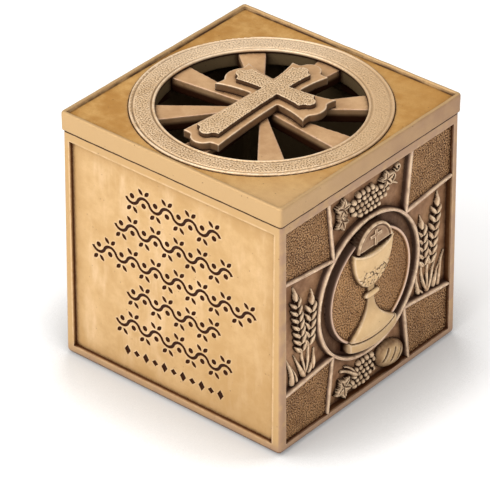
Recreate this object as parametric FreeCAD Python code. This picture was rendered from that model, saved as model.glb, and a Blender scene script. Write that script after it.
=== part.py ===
"""A small cast offering box with a lift-off lid, in millimetres.

The box stands on its felt pad at z = 0, centred on the Z axis. The plain front faces -Y and
the two relief faces look along +X and -X. Each face leans in a little towards the top, as a
cast face does, so what lies on a face is drawn flat, as (across, up, out), and then placed.
"""
import FreeCAD, Part
import math
import os
from FreeCAD import Matrix, Placement, Rotation, Vector

os.makedirs("parts", exist_ok=True)

# Driving dimensions of the whole box
FOOT_WIDTH = 88.2
DRAFT = 0.45
RIM_HEIGHT = 83.3
LID_WIDTH = 87.8
LID_TOP = 90.0
PAD_STANDS_OUT = 0.3
PAD_WIDTH = 76.0
PAD_THICKNESS = 1.2
PAD_CORNER_RADIUS = 4.0
CAVITY_WIDTH = 75.0
FLOOR_TOP = 6.5
CORNER_RADIUS = 1.2
FOOT_RADIUS = 1.8
CAVITY_CORNER_RADIUS = 2.0

# The faces: a raised frame round a pocket, with a panel in the pocket
FRAME_SIDE = 2.9
FRAME_TOP = 3.4
FRAME_BOTTOM = 3.3
PLAIN_FRAME_BOTTOM = 3.8
PLAIN_GROUND = 1.4
PLAIN_POCKET = 2.2
DEEP_GROUND = 2.2
TILE_GROUND = 1.2
DEEP_POCKET = 3.6

# The engraving on the front: rows of running scroll and a rule of lozenges
ENGRAVING_DEPTH = 0.4
ROW_PITCH = 11.75
TOP_ROW_HEIGHT = 68.6
ROW_HALF_LENGTHS = (16.5, 21.5, 32.5, 19.5, 25.5)
WAVE = 4.7
WAVE_RISE = 1.6
STEM_WIDTH = 1.1
BUD_RADIUS = 0.95
LEAF_REACH = (1.75, 1.9)
LEAF_WIDTH = 1.35
LOZENGE_COUNT = 11
LOZENGE_RULE_HALF = 21.0
LOZENGE_RULE_HEIGHT = 11.35
LOZENGE_HALF = 1.3
LOZENGE_TALL = 1.9
LOZENGE_SHORT = 1.2

# The relief face, measured from the middle of its medallion
MEDALLION_HEIGHT = 41.0
OUTER_RING = 25.2
OUTER_RING_WIDTH = 1.2
INNER_RING = 20.0
INNER_RING_WIDTH = 1.2
INNER_RING_TOP = 0.3
MEDALLION_GROUND = 0.6
RIB_WIDTH = 1.3
RIB_JUNCTION = 17.8
RIB_OUTER_SPREAD = 20.4
RIB_OVERRUN = 0.06

# The chalice and the host in it
CUP_TOP = 15.5
CUP_HALF = 9.7
CUP_MOUTH_DIP = 2.35
CUP_FACE = 2.3
CUP_EDGE = 1.0
BOWL_BEND = (8.4, 8.0)
BOWL_FOOT = (4.3, 1.7)
NECK_HALF = 1.8
KNOP_HEIGHT = -2.6
KNOP_HALF = 3.6
STEM_HALF = 2.0
FOOT_BEND = (5.1, -11.2)
FOOT_EDGE = (11.2, -15.7)
FOOT_SLAB_TOP = -16.6
FOOT_SLAB_BOTTOM = -19.3
FOOT_SLAB_HALF = 11.8
FOOT_SLAB_DIP = 2.1
MOUTH_LEVEL = 0.3
HOST_RADIUS = 8.6
HOST_CENTRE = 14.7
HOST_FACE = 1.9
HOST_CROSS_RISE = 0.4
HOST_BEAM = 1.2
HOST_ARMS = 5.2

# The wheat on the +across side: an ear is (root, tip, pairs of grains), and a leaf or stem is
# (root, tip, bulge, width, thickness)
GRAIN_LENGTH = 4.4
GRAIN_WIDTH = 1.8
GRAIN_HEIGHT = 2.0
GRAIN_PITCH = 2.85
GRAIN_LEAN = 37.0
GRAIN_OFFSET = 1.5
BACKING = 0.5
EAR_BACKING_WIDTH = 5.2
OUTER_EAR = ((31.3, -8.4), (34.8, 16.2), 7)
INNER_EAR = ((28.7, -7.8), (28.0, 10.4), 5)
WHEAT_STEMS = (
    ((29.6, -18.0), (31.2, -7.2), 0.9, 1.1, 1.1),
    ((29.8, -18.2), (27.0, -6.6), -0.9, 1.0, 1.0),
    ((34.4, -9.0), (29.8, -18.2), -1.2, 1.5, 1.2),
)
WHEAT_LEAVES = (
    ((38.9, -8.0), (35.9, -18.3), -1.3, 1.6, 1.3),
    ((25.6, -10.6), (26.0, -16.6), 0.5, 1.4, 1.2),
)

# The vines: a bunch is (left, top, rows of (shift in berries, berries)), a leaf is
# (centre, size, angle, thickness)
BERRY_RADIUS = 1.12
BERRY_SINK = 0.35
BERRY_PITCH = 2.1
ROW_RISE = 1.85
TOP_BUNCH = (-7.8, 34.4, ((1.5, 4), (0.5, 7), (0, 9), (0.5, 8), (2, 5)))
TOP_LEAVES = (((-12.2, 30.6), 4.2, 180, 1.5), ((9.4, 33.2), 3.4, 15, 1.5))
TOP_TENDRIL = ((13.6, 34.2), 1.8)
BOTTOM_BUNCH = (-7.9, -28.4, ((2, 3), (1.5, 4), (1, 4), (0.5, 5), (1, 3)))
BOTTOM_LEAF = ((-11.0, -32.6), 4.4, 200, 1.6)
BOTTOM_BLADE = ((-5.0, -31.0), (-12.0, -26.6), 0.3, 2.2, 1.4)
LEAF_HEART = 0.52
LEAF_LOBE = 0.38
LOBE_REACH = 0.62
LOBE_STEP = 55
TENDRIL_WIDTH = 0.8
TENDRIL_HEIGHT = 1.2

# The loaf
LOAF_SIZE = (14.8, 9.6, 3.0)
LOAF_CENTRE = (11.4, -31.9)
LOAF_ANGLE = -18
SLASH_PITCH = 3.4
SLASH_LENGTH = 5.2
SLASH_RADIUS = 0.35
SLASH_HEIGHT = 0.55

# The lid
LID_CORNER_RADIUS = 1.0
LIP_CORNER_RADIUS = 2.2
LID_EDGE_RADIUS = 0.8
LID_BEAD = 1.3
LID_FIELD_DEPTH = 1.25
LIP_CLEARANCE = 0.3
LIP_WALL = 3.0
LIP_DEPTH = 3.5
ROSETTE_OUTER = 41.0
ROSETTE_INNER = 33.0
ROSETTE_SEAT_DEPTH = 2.0
ROSETTE_TOP_DEPTH = 0.6
GRILLE_RADIUS = 33.5
GRILLE_THICKNESS = 4.7
RING_BEAD = 0.8
RING_GROOVE = 0.5
RING_GROOVE_DEPTH = 0.4
RING_BAND_DEPTH = 0.15
HUB_RADIUS = 3.0
RAY_COUNT = 8
RAY_HALF_AT_CENTRE = 0.5
RAY_HALF_PER_MM = 0.118

# The two crosses: beam half widths, then (corner, notch, lobe) for each arm, as (reach, half width)
CROSSING = 6.6
LOWER_BEAMS = (5.3, 5.5)
LOWER_SIDE = ((17.6, 8.1), (17.0, 4.2), 18.8)
LOWER_HEAD = ((17.2, 7.2), (17.3, 3.8), 20.5)
LOWER_FOOT = ((35.4, 7.0), (35.7, 3.8), 38.3)
UPPER_BEAMS = (3.0, 2.9)
UPPER_SIDE = ((12.6, 3.9), (13.6, 2.1), 15.5)
UPPER_HEAD = ((12.8, 3.7), (13.4, 2.0), 15.0)
UPPER_FOOT = ((32.3, 4.3), (33.0, 2.3), 35.0)
LOWER_CROSS_TOP = LID_TOP + 0.7
UPPER_CROSS_TOP = LID_TOP + 2.3
FLARE_SAG = 0.22
NOTCH_HOLLOW = 0.25

OUT = Vector(0, 0, 1)
REACH_OUT = 10.0
FACE_TURNS = {"front": 0, "right": 90, "back": 180, "left": 270}


def save(name, shape):
    """Write one sub-part, after a check that it is sound."""
    if not shape.isValid() or not shape.Solids:
        raise ValueError(name + " is not a sound solid")
    shape.exportStep("parts/" + name + ".step")
    print("%-22s %3d solids %10.1f mm3" % (name, len(shape.Solids), shape.Volume))


def on_face(shape, side):
    """Move a shape drawn flat, (across, up, out), onto a side of the box."""
    upright = Placement(Vector(0, 0, 0), Rotation(Vector(1, 0, 0), 90))
    lean = Placement(Vector(0, -FOOT_WIDTH / 2, 0), Rotation(Vector(1, 0, 0), -DRAFT))
    turn = Placement(Vector(0, 0, 0), Rotation(OUT, FACE_TURNS[side]))
    placed = shape.copy()
    placed.Placement = turn.multiply(lean).multiply(upright).multiply(placed.Placement)
    return placed


def on_medallion(shape, side):
    """Move a shape drawn round the middle of the medallion onto a side of the box."""
    raised = shape.copy()
    raised.translate(Vector(0, MEDALLION_HEIGHT, 0))
    return on_face(raised, side)


# ---------------------------------------------------------------- flat outlines and solids

def flat_point(across, up):
    """A point in the plane that outlines are drawn in."""
    return Vector(across, up, 0)


def slab(wire, low, high):
    """A flat plate with the outline wire, between two levels."""
    plate = Part.Face(wire).extrude(Vector(0, 0, high - low))
    plate.translate(Vector(0, 0, low))
    return plate


def polygon(points):
    """A closed outline with straight sides."""
    corners = [flat_point(*point) for point in points]
    return Part.makePolygon(corners + corners[:1])


def plate(left, right, bottom, top, low, high):
    """A rectangular plate."""
    return Part.makeBox(right - left, top - bottom, high - low, Vector(left, bottom, low))


def upright_edges(block):
    """The edges at the four corners of a plate or block."""
    return [edge for edge in block.Edges if edge.BoundBox.ZLength > 1]


def disc(radius, low, high, centre=(0, 0)):
    """A round plate between two levels."""
    return Part.makeCylinder(radius, high - low, Vector(centre[0], centre[1], low))


def arc(start, middle, end):
    """An arc of a circle through three points of the plane."""
    return Part.Arc(flat_point(*start), flat_point(*middle), flat_point(*end)).toShape()


def line(start, end):
    """A straight edge between two points of the plane."""
    return Part.LineSegment(flat_point(*start), flat_point(*end)).toShape()


def blade(root, tip, bulge, width):
    """The outline of a pointed leaf: two arcs from root to tip, bent to one side by bulge."""
    middle_across = (root[0] + tip[0]) / 2
    middle_up = (root[1] + tip[1]) / 2
    length = math.dist(root, tip)
    side_across = (tip[1] - root[1]) / length
    side_up = -(tip[0] - root[0]) / length

    def beside(offset):
        return (middle_across + side_across * offset, middle_up + side_up * offset)

    near = arc(root, beside(bulge + width / 2), tip)
    far = arc(tip, beside(bulge - width / 2), root)
    return Part.Wire([near, far])


def fused(shapes):
    """One solid from several that touch."""
    return shapes[0].multiFuse(shapes[1:]).removeSplitter() if len(shapes) > 1 else shapes[0]


def separate(shapes):
    """Several solids of one sub-part that don't touch."""
    return Part.makeCompound([solid for shape in shapes for solid in shape.Solids])


def mound(length, width, height, level):
    """Half of an ellipsoid that lies flat at a level, long side across."""
    dome = Part.makeSphere(1.0, Vector(0, 0, 0), OUT, 0, 90, 360)
    stretch = Matrix()
    stretch.scale(Vector(length / 2, width / 2, height))
    dome = dome.transformGeometry(stretch)
    dome.translate(Vector(0, 0, level))
    return dome


def laid(shape, centre, angle):
    """A shape turned in its plane and moved to a centre."""
    moved = shape.copy()
    moved.rotate(Vector(0, 0, 0), OUT, angle)
    moved.translate(flat_point(*centre))
    return moved


def mirrored(shape):
    """The same shape for the other half of a face."""
    return shape.mirror(Vector(0, 0, 0), Vector(1, 0, 0))


# ---------------------------------------------------------------- the box

def pocket_box(depth, frame_bottom, top_level):
    """The block inside a face's frame, from the pocket's depth out to a level."""
    half = FOOT_WIDTH / 2 - FRAME_SIDE - math.tan(math.radians(DRAFT)) * RIM_HEIGHT / 2
    return plate(-half, half, frame_bottom, RIM_HEIGHT - FRAME_TOP, -depth, top_level)


def plain_panel():
    """The smooth panel of the front and the back."""
    return pocket_box(PLAIN_POCKET, PLAIN_FRAME_BOTTOM, -PLAIN_GROUND)


def relief_panel():
    """The deep ground that a relief face's carving stands on."""
    return pocket_box(DEEP_POCKET, FRAME_BOTTOM, -DEEP_GROUND)


def outer_block():
    """The leaning outside of the box, with its edges rounded."""
    lean_in = math.tan(math.radians(DRAFT))
    foot = FOOT_WIDTH / 2 - lean_in * PAD_STANDS_OUT
    rim = FOOT_WIDTH / 2 - lean_in * RIM_HEIGHT
    block = Part.makeWedge(-foot, PAD_STANDS_OUT, -foot, -rim, -rim, foot, RIM_HEIGHT, foot, rim, rim)
    block.rotate(Vector(0, 0, 0), Vector(1, 0, 0), 90)
    block = block.makeFillet(CORNER_RADIUS, upright_edges(block))
    foot_edges = [edge for edge in block.Edges if edge.BoundBox.ZMax < PAD_STANDS_OUT + 0.01]
    block = block.makeFillet(FOOT_RADIUS, foot_edges)
    rim_edges = [edge for edge in block.Edges if edge.BoundBox.ZMin > RIM_HEIGHT - 0.01]
    return block.makeFillet(CORNER_RADIUS / 2, rim_edges)


def base_pad():
    """The felt under the floor, with rounded corners."""
    pad = plate(-PAD_WIDTH / 2, PAD_WIDTH / 2, -PAD_WIDTH / 2, PAD_WIDTH / 2, 0, PAD_THICKNESS)
    return pad.makeFillet(PAD_CORNER_RADIUS, upright_edges(pad))


def box_shell():
    """Walls and floor in one casting, hollowed from above and pocketed on all four faces."""
    half = CAVITY_WIDTH / 2
    hollow = plate(-half, half, -half, half, FLOOR_TOP, RIM_HEIGHT + 1)
    hollow = hollow.makeFillet(CAVITY_CORNER_RADIUS, upright_edges(hollow))
    cuts = [hollow, base_pad()]
    for side in ("front", "back"):
        cuts.append(on_face(pocket_box(PLAIN_POCKET, PLAIN_FRAME_BOTTOM, REACH_OUT), side))
    for side in ("right", "left"):
        cuts.append(on_face(pocket_box(DEEP_POCKET, FRAME_BOTTOM, REACH_OUT), side))
    return outer_block().cut(cuts)


# ---------------------------------------------------------------- the engraved front

def wave_half(start, up, direction):
    """One bow of the scroll's stem: a curved strip that rises or falls by WAVE_RISE."""
    rise = WAVE_RISE
    radius = (WAVE * WAVE / 4 + rise * rise) / (2 * rise)
    drop = radius - rise
    half_angle = math.asin(WAVE / 2 / radius)
    centre = (start + WAVE / 2, up - direction * drop)

    def on_arc(distance, angle):
        across = centre[0] + distance * math.sin(angle)
        return (across, centre[1] + direction * distance * math.cos(angle))

    outer = radius + STEM_WIDTH / 2
    inner = radius - STEM_WIDTH / 2
    return Part.Wire([
        arc(on_arc(outer, -half_angle), on_arc(outer, 0), on_arc(outer, half_angle)),
        line(on_arc(outer, half_angle), on_arc(inner, half_angle)),
        arc(on_arc(inner, half_angle), on_arc(inner, 0), on_arc(inner, -half_angle)),
        line(on_arc(inner, -half_angle), on_arc(outer, -half_angle)),
    ])


def scroll_row(half_length, up):
    """A running vine scroll: bowed stem, a berry inside each bow and a leaf pair outside it."""
    low = -PLAIN_GROUND - ENGRAVING_DEPTH
    high = low + 2 * ENGRAVING_DEPTH
    bows = max(2, 2 * round(half_length / WAVE))
    pieces = []
    for index in range(bows):
        direction = 1 if index % 2 else -1
        start = (index - bows / 2) * WAVE
        middle = start + WAVE / 2
        pieces.append(slab(wave_half(start, up, direction), low, high))
        pieces.append(disc(BUD_RADIUS, low, high, (middle, up - direction * BUD_RADIUS)))
        leaf_foot = up + direction * (WAVE_RISE + STEM_WIDTH)
        for lean in (-1, 1):
            root = (middle + lean * STEM_WIDTH / 3, leaf_foot)
            tip = (root[0] + lean * LEAF_REACH[0], leaf_foot + direction * LEAF_REACH[1])
            pieces.append(slab(blade(root, tip, 0, LEAF_WIDTH), low, high))
    return pieces


def lozenge_row():
    """The small bottom rule: tall and short lozenges in turn."""
    low = -PLAIN_GROUND - ENGRAVING_DEPTH
    up = LOZENGE_RULE_HEIGHT
    pitch = 2 * LOZENGE_RULE_HALF / LOZENGE_COUNT
    pieces = []
    for index in range(LOZENGE_COUNT):
        middle = (index - (LOZENGE_COUNT - 1) / 2) * pitch
        tall = LOZENGE_SHORT if index % 2 else LOZENGE_TALL
        outline = polygon([
            (middle - LOZENGE_HALF, up),
            (middle, up - tall),
            (middle + LOZENGE_HALF, up),
            (middle, up + tall),
        ])
        pieces.append(slab(outline, low, low + 2 * ENGRAVING_DEPTH))
    return pieces


def front_panel():
    """The smooth front with five rows of vine scroll and a small rule of lozenges."""
    cuts = []
    for row, half_length in enumerate(ROW_HALF_LENGTHS):
        cuts += scroll_row(half_length, TOP_ROW_HEIGHT - row * ROW_PITCH)
    cuts += lozenge_row()
    return plain_panel().cut(cuts)


# ---------------------------------------------------------------- the relief faces

def rounded_ring(radius, width, low, top):
    """A ring with a rounded crown: its section is a rectangle under a half circle."""
    inner = radius - width
    shoulder = top - width / 2
    section = Part.Wire([
        Part.LineSegment(Vector(inner, 0, low), Vector(radius, 0, low)).toShape(),
        Part.LineSegment(Vector(radius, 0, low), Vector(radius, 0, shoulder)).toShape(),
        Part.Arc(Vector(radius, 0, shoulder), Vector(radius - width / 2, 0, top),
                 Vector(inner, 0, shoulder)).toShape(),
        Part.LineSegment(Vector(inner, 0, shoulder), Vector(inner, 0, low)).toShape(),
    ])
    return Part.Face(section).revolve(Vector(0, 0, 0), OUT, 360)


def rib(start, end):
    """A straight rib with a rounded crown, from the deep ground up to the frame's level."""
    length = math.dist(start, end)
    half = RIB_WIDTH / 2
    section = Part.Wire([
        Part.LineSegment(Vector(0, -half, -DEEP_GROUND), Vector(0, half, -DEEP_GROUND)).toShape(),
        Part.LineSegment(Vector(0, half, -DEEP_GROUND), Vector(0, half, -half)).toShape(),
        Part.Arc(Vector(0, half, -half), Vector(0, 0, 0), Vector(0, -half, -half)).toShape(),
        Part.LineSegment(Vector(0, -half, -half), Vector(0, -half, -DEEP_GROUND)).toShape(),
    ])
    bar = Part.Face(section).extrude(Vector(length, 0, 0))
    angle = math.degrees(math.atan2(end[1] - start[1], end[0] - start[0]))
    return laid(bar, start, angle)


def field_limits():
    """The pocket's edges, measured from the middle of the medallion."""
    box = relief_panel().BoundBox
    return box.XMax, box.YMin - MEDALLION_HEIGHT, box.YMax - MEDALLION_HEIGHT


def corner_points(side, end):
    """For one corner: the ribs' junction, the upright rib's end, the pocket's corner, and the
    level rib's end."""
    across, bottom, top = field_limits()
    up = top if end > 0 else bottom
    return [
        (side * RIB_JUNCTION, end * RIB_JUNCTION),
        (side * RIB_OUTER_SPREAD, up),
        (side * across, up),
        (side * across, end * RIB_OUTER_SPREAD),
    ]


CORNERS = [(side, end) for side in (-1, 1) for end in (-1, 1)]


def beyond(start, end):
    """A point a little past the end of a line, so that a rib is cut off square by the frame."""
    return tuple(last + (last - first) * RIB_OVERRUN for first, last in zip(start, end))


def rib_lattice():
    """The outer ring of the medallion and the eight ribs that splay from it."""
    across, bottom, top = field_limits()
    bars = [rounded_ring(OUTER_RING, OUTER_RING_WIDTH, -DEEP_GROUND, 0)]
    for side, end in CORNERS:
        junction, upright_end, _, level_end = corner_points(side, end)
        bars.append(rib(junction, beyond(junction, upright_end)))
        bars.append(rib(junction, beyond(junction, level_end)))
    window = plate(-across, across, bottom, top, -DEEP_GROUND - 1, 1)
    outside = fused(bars).common(window)
    return outside.cut(disc(OUTER_RING - OUTER_RING_WIDTH, -DEEP_GROUND - 1, 1))


def corner_tiles(lattice):
    """The four raised corner fields between the ribs and the frame."""
    tiles = []
    for side, end in CORNERS:
        outline = polygon(corner_points(side, end))
        tiles.append(slab(outline, -DEEP_GROUND, -TILE_GROUND).cut(lattice))
    return separate([max(tile.Solids, key=lambda solid: solid.Volume) for tile in tiles])


def medallion():
    """The grained disc and the bead round it."""
    inner = INNER_RING - INNER_RING_WIDTH / 2
    ground = disc(inner, -DEEP_GROUND, -MEDALLION_GROUND)
    bead = rounded_ring(INNER_RING, INNER_RING_WIDTH, -DEEP_GROUND, INNER_RING_TOP)
    return ground.fuse(bead).removeSplitter()


def chalice_outline():
    """Bowl, neck, stem and flared foot, from the right end of the rim round to the left."""
    knop_round = 1.1
    knop_top = KNOP_HEIGHT + knop_round
    knop_bottom = KNOP_HEIGHT - knop_round
    knop_inner = KNOP_HALF - knop_round
    right = [
        arc((CUP_HALF, CUP_TOP), BOWL_BEND, BOWL_FOOT),
        arc(BOWL_FOOT, ((BOWL_FOOT[0] + NECK_HALF) / 2, BOWL_FOOT[1] * 0.4), (NECK_HALF, 0)),
        line((NECK_HALF, 0), (NECK_HALF, knop_top)),
        line((NECK_HALF, knop_top), (knop_inner, knop_top)),
        arc((knop_inner, knop_top), (KNOP_HALF, KNOP_HEIGHT), (knop_inner, knop_bottom)),
        line((knop_inner, knop_bottom), (STEM_HALF, knop_bottom)),
        arc((STEM_HALF, knop_bottom), FOOT_BEND, FOOT_EDGE),
        line(FOOT_EDGE, (FOOT_SLAB_HALF, FOOT_SLAB_TOP)),
        line((FOOT_SLAB_HALF, FOOT_SLAB_TOP), (FOOT_SLAB_HALF, FOOT_SLAB_BOTTOM)),
    ]
    left = [edge.mirror(Vector(0, 0, 0), Vector(1, 0, 0)) for edge in right]
    bottom = arc(
        (FOOT_SLAB_HALF, FOOT_SLAB_BOTTOM),
        (0, FOOT_SLAB_BOTTOM - FOOT_SLAB_DIP),
        (-FOOT_SLAB_HALF, FOOT_SLAB_BOTTOM))
    rim = line((-CUP_HALF, CUP_TOP), (CUP_HALF, CUP_TOP))
    return Part.Wire(Part.__sortEdges__(right + [bottom] + left + [rim]))


def cup_mouth():
    """The open mouth of the cup, in front of the host: a shallow arc below the rim's ends."""
    lip = 0.7
    wide = CUP_HALF - lip
    rim = line((-wide, CUP_TOP), (wide, CUP_TOP))
    dip = arc((wide, CUP_TOP), (0, CUP_TOP - CUP_MOUTH_DIP), (-wide, CUP_TOP))
    return Part.Wire([rim, dip])


def chalice(disc_below):
    """The cup, standing on the medallion's disc, crowned across its width."""
    crown_radius = (CUP_HALF ** 2 + (CUP_FACE - CUP_EDGE) ** 2) / (2 * (CUP_FACE - CUP_EDGE))
    body = slab(chalice_outline(), -DEEP_GROUND, CUP_FACE + 1)
    crown_start = Vector(0, -MEDALLION_HEIGHT, CUP_FACE - crown_radius)
    crown = Part.makeCylinder(crown_radius, 2 * MEDALLION_HEIGHT, crown_start, Vector(0, 1, 0))
    body = body.common(crown)
    body = body.cut(slab(cup_mouth(), MOUTH_LEVEL, CUP_FACE + 1))
    return body.cut(disc_below)


def host(disc_below):
    """The disc that stands in the cup, with a plain raised cross. Its lower part is hidden."""
    body = disc(HOST_RADIUS, -DEEP_GROUND, HOST_FACE, (0, HOST_CENTRE))
    cross_top = HOST_CENTRE + HOST_RADIUS - HOST_BEAM
    arms_up = (CUP_TOP + cross_top) / 2 + HOST_BEAM / 2
    face = HOST_FACE + HOST_CROSS_RISE
    half_beam = HOST_BEAM / 2
    half_arms = HOST_ARMS / 2
    upright = plate(-half_beam, half_beam, CUP_TOP, cross_top, 0, face)
    arms = plate(-half_arms, half_arms, arms_up - half_beam, arms_up + half_beam, 0, face)
    reach = CUP_TOP + HOST_RADIUS
    above = plate(-HOST_RADIUS, HOST_RADIUS, CUP_TOP, reach, -DEEP_GROUND, REACH_OUT)
    return body.fuse([upright, arms]).common(above).cut(disc_below)


def on_ground(outline, thickness):
    """A flat piece of leaf, stem or backing that lies on the deep ground."""
    return slab(outline, -DEEP_GROUND, -DEEP_GROUND + thickness)


def wheat_ear(root, tip, rows):
    """Pairs of grains that lean out from a centre line, with one grain at the tip."""
    angle = math.degrees(math.atan2(tip[1] - root[1], tip[0] - root[0]))
    grain = mound(GRAIN_LENGTH, GRAIN_WIDTH, GRAIN_HEIGHT, -DEEP_GROUND)
    length = rows * GRAIN_PITCH + GRAIN_LENGTH
    grains = [on_ground(blade((0, 0), (length, 0), 0, EAR_BACKING_WIDTH), BACKING)]
    for row in range(rows):
        along = GRAIN_LENGTH / 2 + row * GRAIN_PITCH
        for side in (-1, 1):
            grains.append(laid(grain, (along, side * GRAIN_OFFSET), side * GRAIN_LEAN))
    grains.append(laid(grain, (GRAIN_LENGTH / 2 + rows * GRAIN_PITCH, 0), 0))
    return [laid(shape, root, angle) for shape in grains]


def leaf_blade(root, tip, bulge, width, thickness):
    """A pointed leaf or a stem that lies on the deep ground."""
    return on_ground(blade(root, tip, bulge, width), thickness)


def wheat_sheaf():
    """Two ears on crossed stems, and the long leaves at their foot, on the +across side."""
    stems = [leaf_blade(*stem) for stem in WHEAT_STEMS]
    leaves = [leaf_blade(*leaf) for leaf in WHEAT_LEAVES]
    return separate([fused(wheat_ear(*OUTER_EAR) + wheat_ear(*INNER_EAR) + stems)] + leaves)


def grape_bunch(left, top, rows):
    """Round berries in staggered rows on a thin backing."""
    ground = -DEEP_GROUND
    berry = Part.makeSphere(BERRY_RADIUS, Vector(0, 0, ground + BERRY_SINK), OUT, -90, 90, 360)
    berry = berry.common(plate(-BERRY_PITCH, BERRY_PITCH, -BERRY_PITCH, BERRY_PITCH, ground, 0))
    pieces = []
    for row, (shift, count) in enumerate(rows):
        up = top - row * ROW_RISE
        start = left + shift * BERRY_PITCH
        end = start + (count - 1) * BERRY_PITCH
        pieces.append(plate(start, end, up - ROW_RISE / 2, up + ROW_RISE / 2, ground, ground + BACKING))
        for index in range(count):
            pieces.append(laid(berry, (start + index * BERRY_PITCH, up), 0))
    return pieces


def vine_leaf(centre, size, angle, thickness):
    """A lobed leaf: five round lobes fanned about a heart."""
    reach = size * LOBE_REACH
    lobes = [disc(size * LEAF_HEART, -DEEP_GROUND, -DEEP_GROUND + thickness)]
    for index in range(-2, 3):
        turn = math.radians(index * LOBE_STEP)
        lobe_centre = (reach * math.cos(turn), reach * math.sin(turn))
        lobes.append(disc(size * LEAF_LOBE, -DEEP_GROUND, -DEEP_GROUND + thickness, lobe_centre))
    return laid(fused(lobes), centre, angle)


def tendril(centre, radius):
    """A small raised ring."""
    ring = rounded_ring(radius, TENDRIL_WIDTH, -DEEP_GROUND, -DEEP_GROUND + TENDRIL_HEIGHT)
    return laid(ring, centre, 0)


def vine_top():
    """A bunch of grapes with a leaf on its left, and a leaf and a curled tendril on its right."""
    leaves = [vine_leaf(*leaf) for leaf in TOP_LEAVES]
    return fused(grape_bunch(*TOP_BUNCH) + leaves + [tendril(*TOP_TENDRIL)])


def vine_bottom():
    """A bunch of grapes with a leaf on its left and a leaf blade over it."""
    leaves = [vine_leaf(*BOTTOM_LEAF), leaf_blade(*BOTTOM_BLADE)]
    return fused(grape_bunch(*BOTTOM_BUNCH) + leaves)


def loaf():
    """A long loaf with three slashes across its crust."""
    crust = mound(*LOAF_SIZE, -DEEP_GROUND)
    slash_start = Vector(0, -SLASH_LENGTH / 2, SLASH_HEIGHT)
    slash = Part.makeCylinder(SLASH_RADIUS, SLASH_LENGTH, slash_start, Vector(0, 1, 0))
    slashes = [laid(slash, (index * SLASH_PITCH, 0), LOAF_ANGLE) for index in (-1, 0, 1)]
    return laid(crust.cut(slashes), LOAF_CENTRE, LOAF_ANGLE)


def build_relief_face(side):
    """Every piece of one relief face."""
    lattice = rib_lattice()
    disc_below = medallion()
    cup = chalice(disc_below)
    sheaf = wheat_sheaf()
    pieces = {
        "rib_lattice": lattice,
        "corner_tiles": corner_tiles(lattice),
        "medallion": disc_below,
        "chalice": cup,
        "host": host(disc_below),
        "wheat_back": sheaf if side == "right" else mirrored(sheaf),
        "wheat_front": mirrored(sheaf) if side == "right" else sheaf,
        "vine_top": vine_top(),
        "vine_bottom": vine_bottom(),
        "loaf": loaf(),
    }
    save(side + "_relief_panel", on_face(relief_panel(), side))
    for name, shape in pieces.items():
        save(side + "_" + name, on_medallion(shape, side))


# ---------------------------------------------------------------- the lid

def lid_frame():
    """The square lid: beaded edge, sunk corners, a seat for the ring and a lip underneath."""
    half = LID_WIDTH / 2
    body = plate(-half, half, -half, half, RIM_HEIGHT, LID_TOP)
    body = body.makeFillet(LID_CORNER_RADIUS, upright_edges(body))
    top_edges = [edge for edge in body.Edges if edge.BoundBox.ZMin > LID_TOP - 0.01]
    body = body.makeFillet(LID_EDGE_RADIUS, top_edges)
    lip = CAVITY_WIDTH / 2 - LIP_CLEARANCE
    lip_box = plate(-lip, lip, -lip, lip, RIM_HEIGHT - LIP_DEPTH, RIM_HEIGHT + 0.5)
    lip_box = lip_box.makeFillet(LIP_CORNER_RADIUS, upright_edges(lip_box))
    inside = lip - LIP_WALL
    lip_hole = plate(-inside, inside, -inside, inside, RIM_HEIGHT - LIP_DEPTH - 1, RIM_HEIGHT)
    field = half - LID_BEAD
    field_top = LID_TOP - LID_FIELD_DEPTH
    return body.fuse(lip_box).cut([
        lip_hole,
        plate(-field, field, -field, field, field_top, LID_TOP + 1),
        disc(ROSETTE_OUTER, LID_TOP - ROSETTE_SEAT_DEPTH, LID_TOP + 1),
        disc(GRILLE_RADIUS, RIM_HEIGHT - 1, LID_TOP + 1),
    ])


def rosette_ring():
    """The ring round the rays: a flat band between two grooves, with a bead beyond each."""
    bottom = LID_TOP - ROSETTE_SEAT_DEPTH
    bead_level = LID_TOP - ROSETTE_TOP_DEPTH
    groove_level = bead_level - RING_GROOVE_DEPTH
    band_level = bead_level - RING_BAND_DEPTH
    slope = band_level - groove_level

    def at(radius, height):
        return Vector(radius, 0, height)

    def straight(start, end):
        return Part.LineSegment(start, end).toShape()

    def half_profile(edge, inward):
        """The bead, groove and slope up to the band, from one edge of the ring inward."""
        bead_end = edge + inward * RING_BEAD
        groove_end = bead_end + inward * RING_GROOVE
        crown = at((edge + bead_end) / 2, bead_level)
        band_start = at(groove_end + inward * slope, band_level)
        edges = [
            straight(at(edge, bottom), at(edge, groove_level)),
            Part.Arc(at(edge, groove_level), crown, at(bead_end, groove_level)).toShape(),
            straight(at(bead_end, groove_level), at(groove_end, groove_level)),
            straight(at(groove_end, groove_level), band_start),
        ]
        return edges, band_start

    outer_edges, outer_start = half_profile(ROSETTE_OUTER, -1)
    inner_edges, inner_start = half_profile(ROSETTE_INNER, 1)
    across = [
        straight(outer_start, inner_start),
        straight(at(ROSETTE_INNER, bottom), at(ROSETTE_OUTER, bottom)),
    ]
    section = Part.Wire(Part.__sortEdges__(outer_edges + inner_edges + across))
    return Part.Face(section).revolve(Vector(0, 0, 0), OUT, 360)


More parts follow.
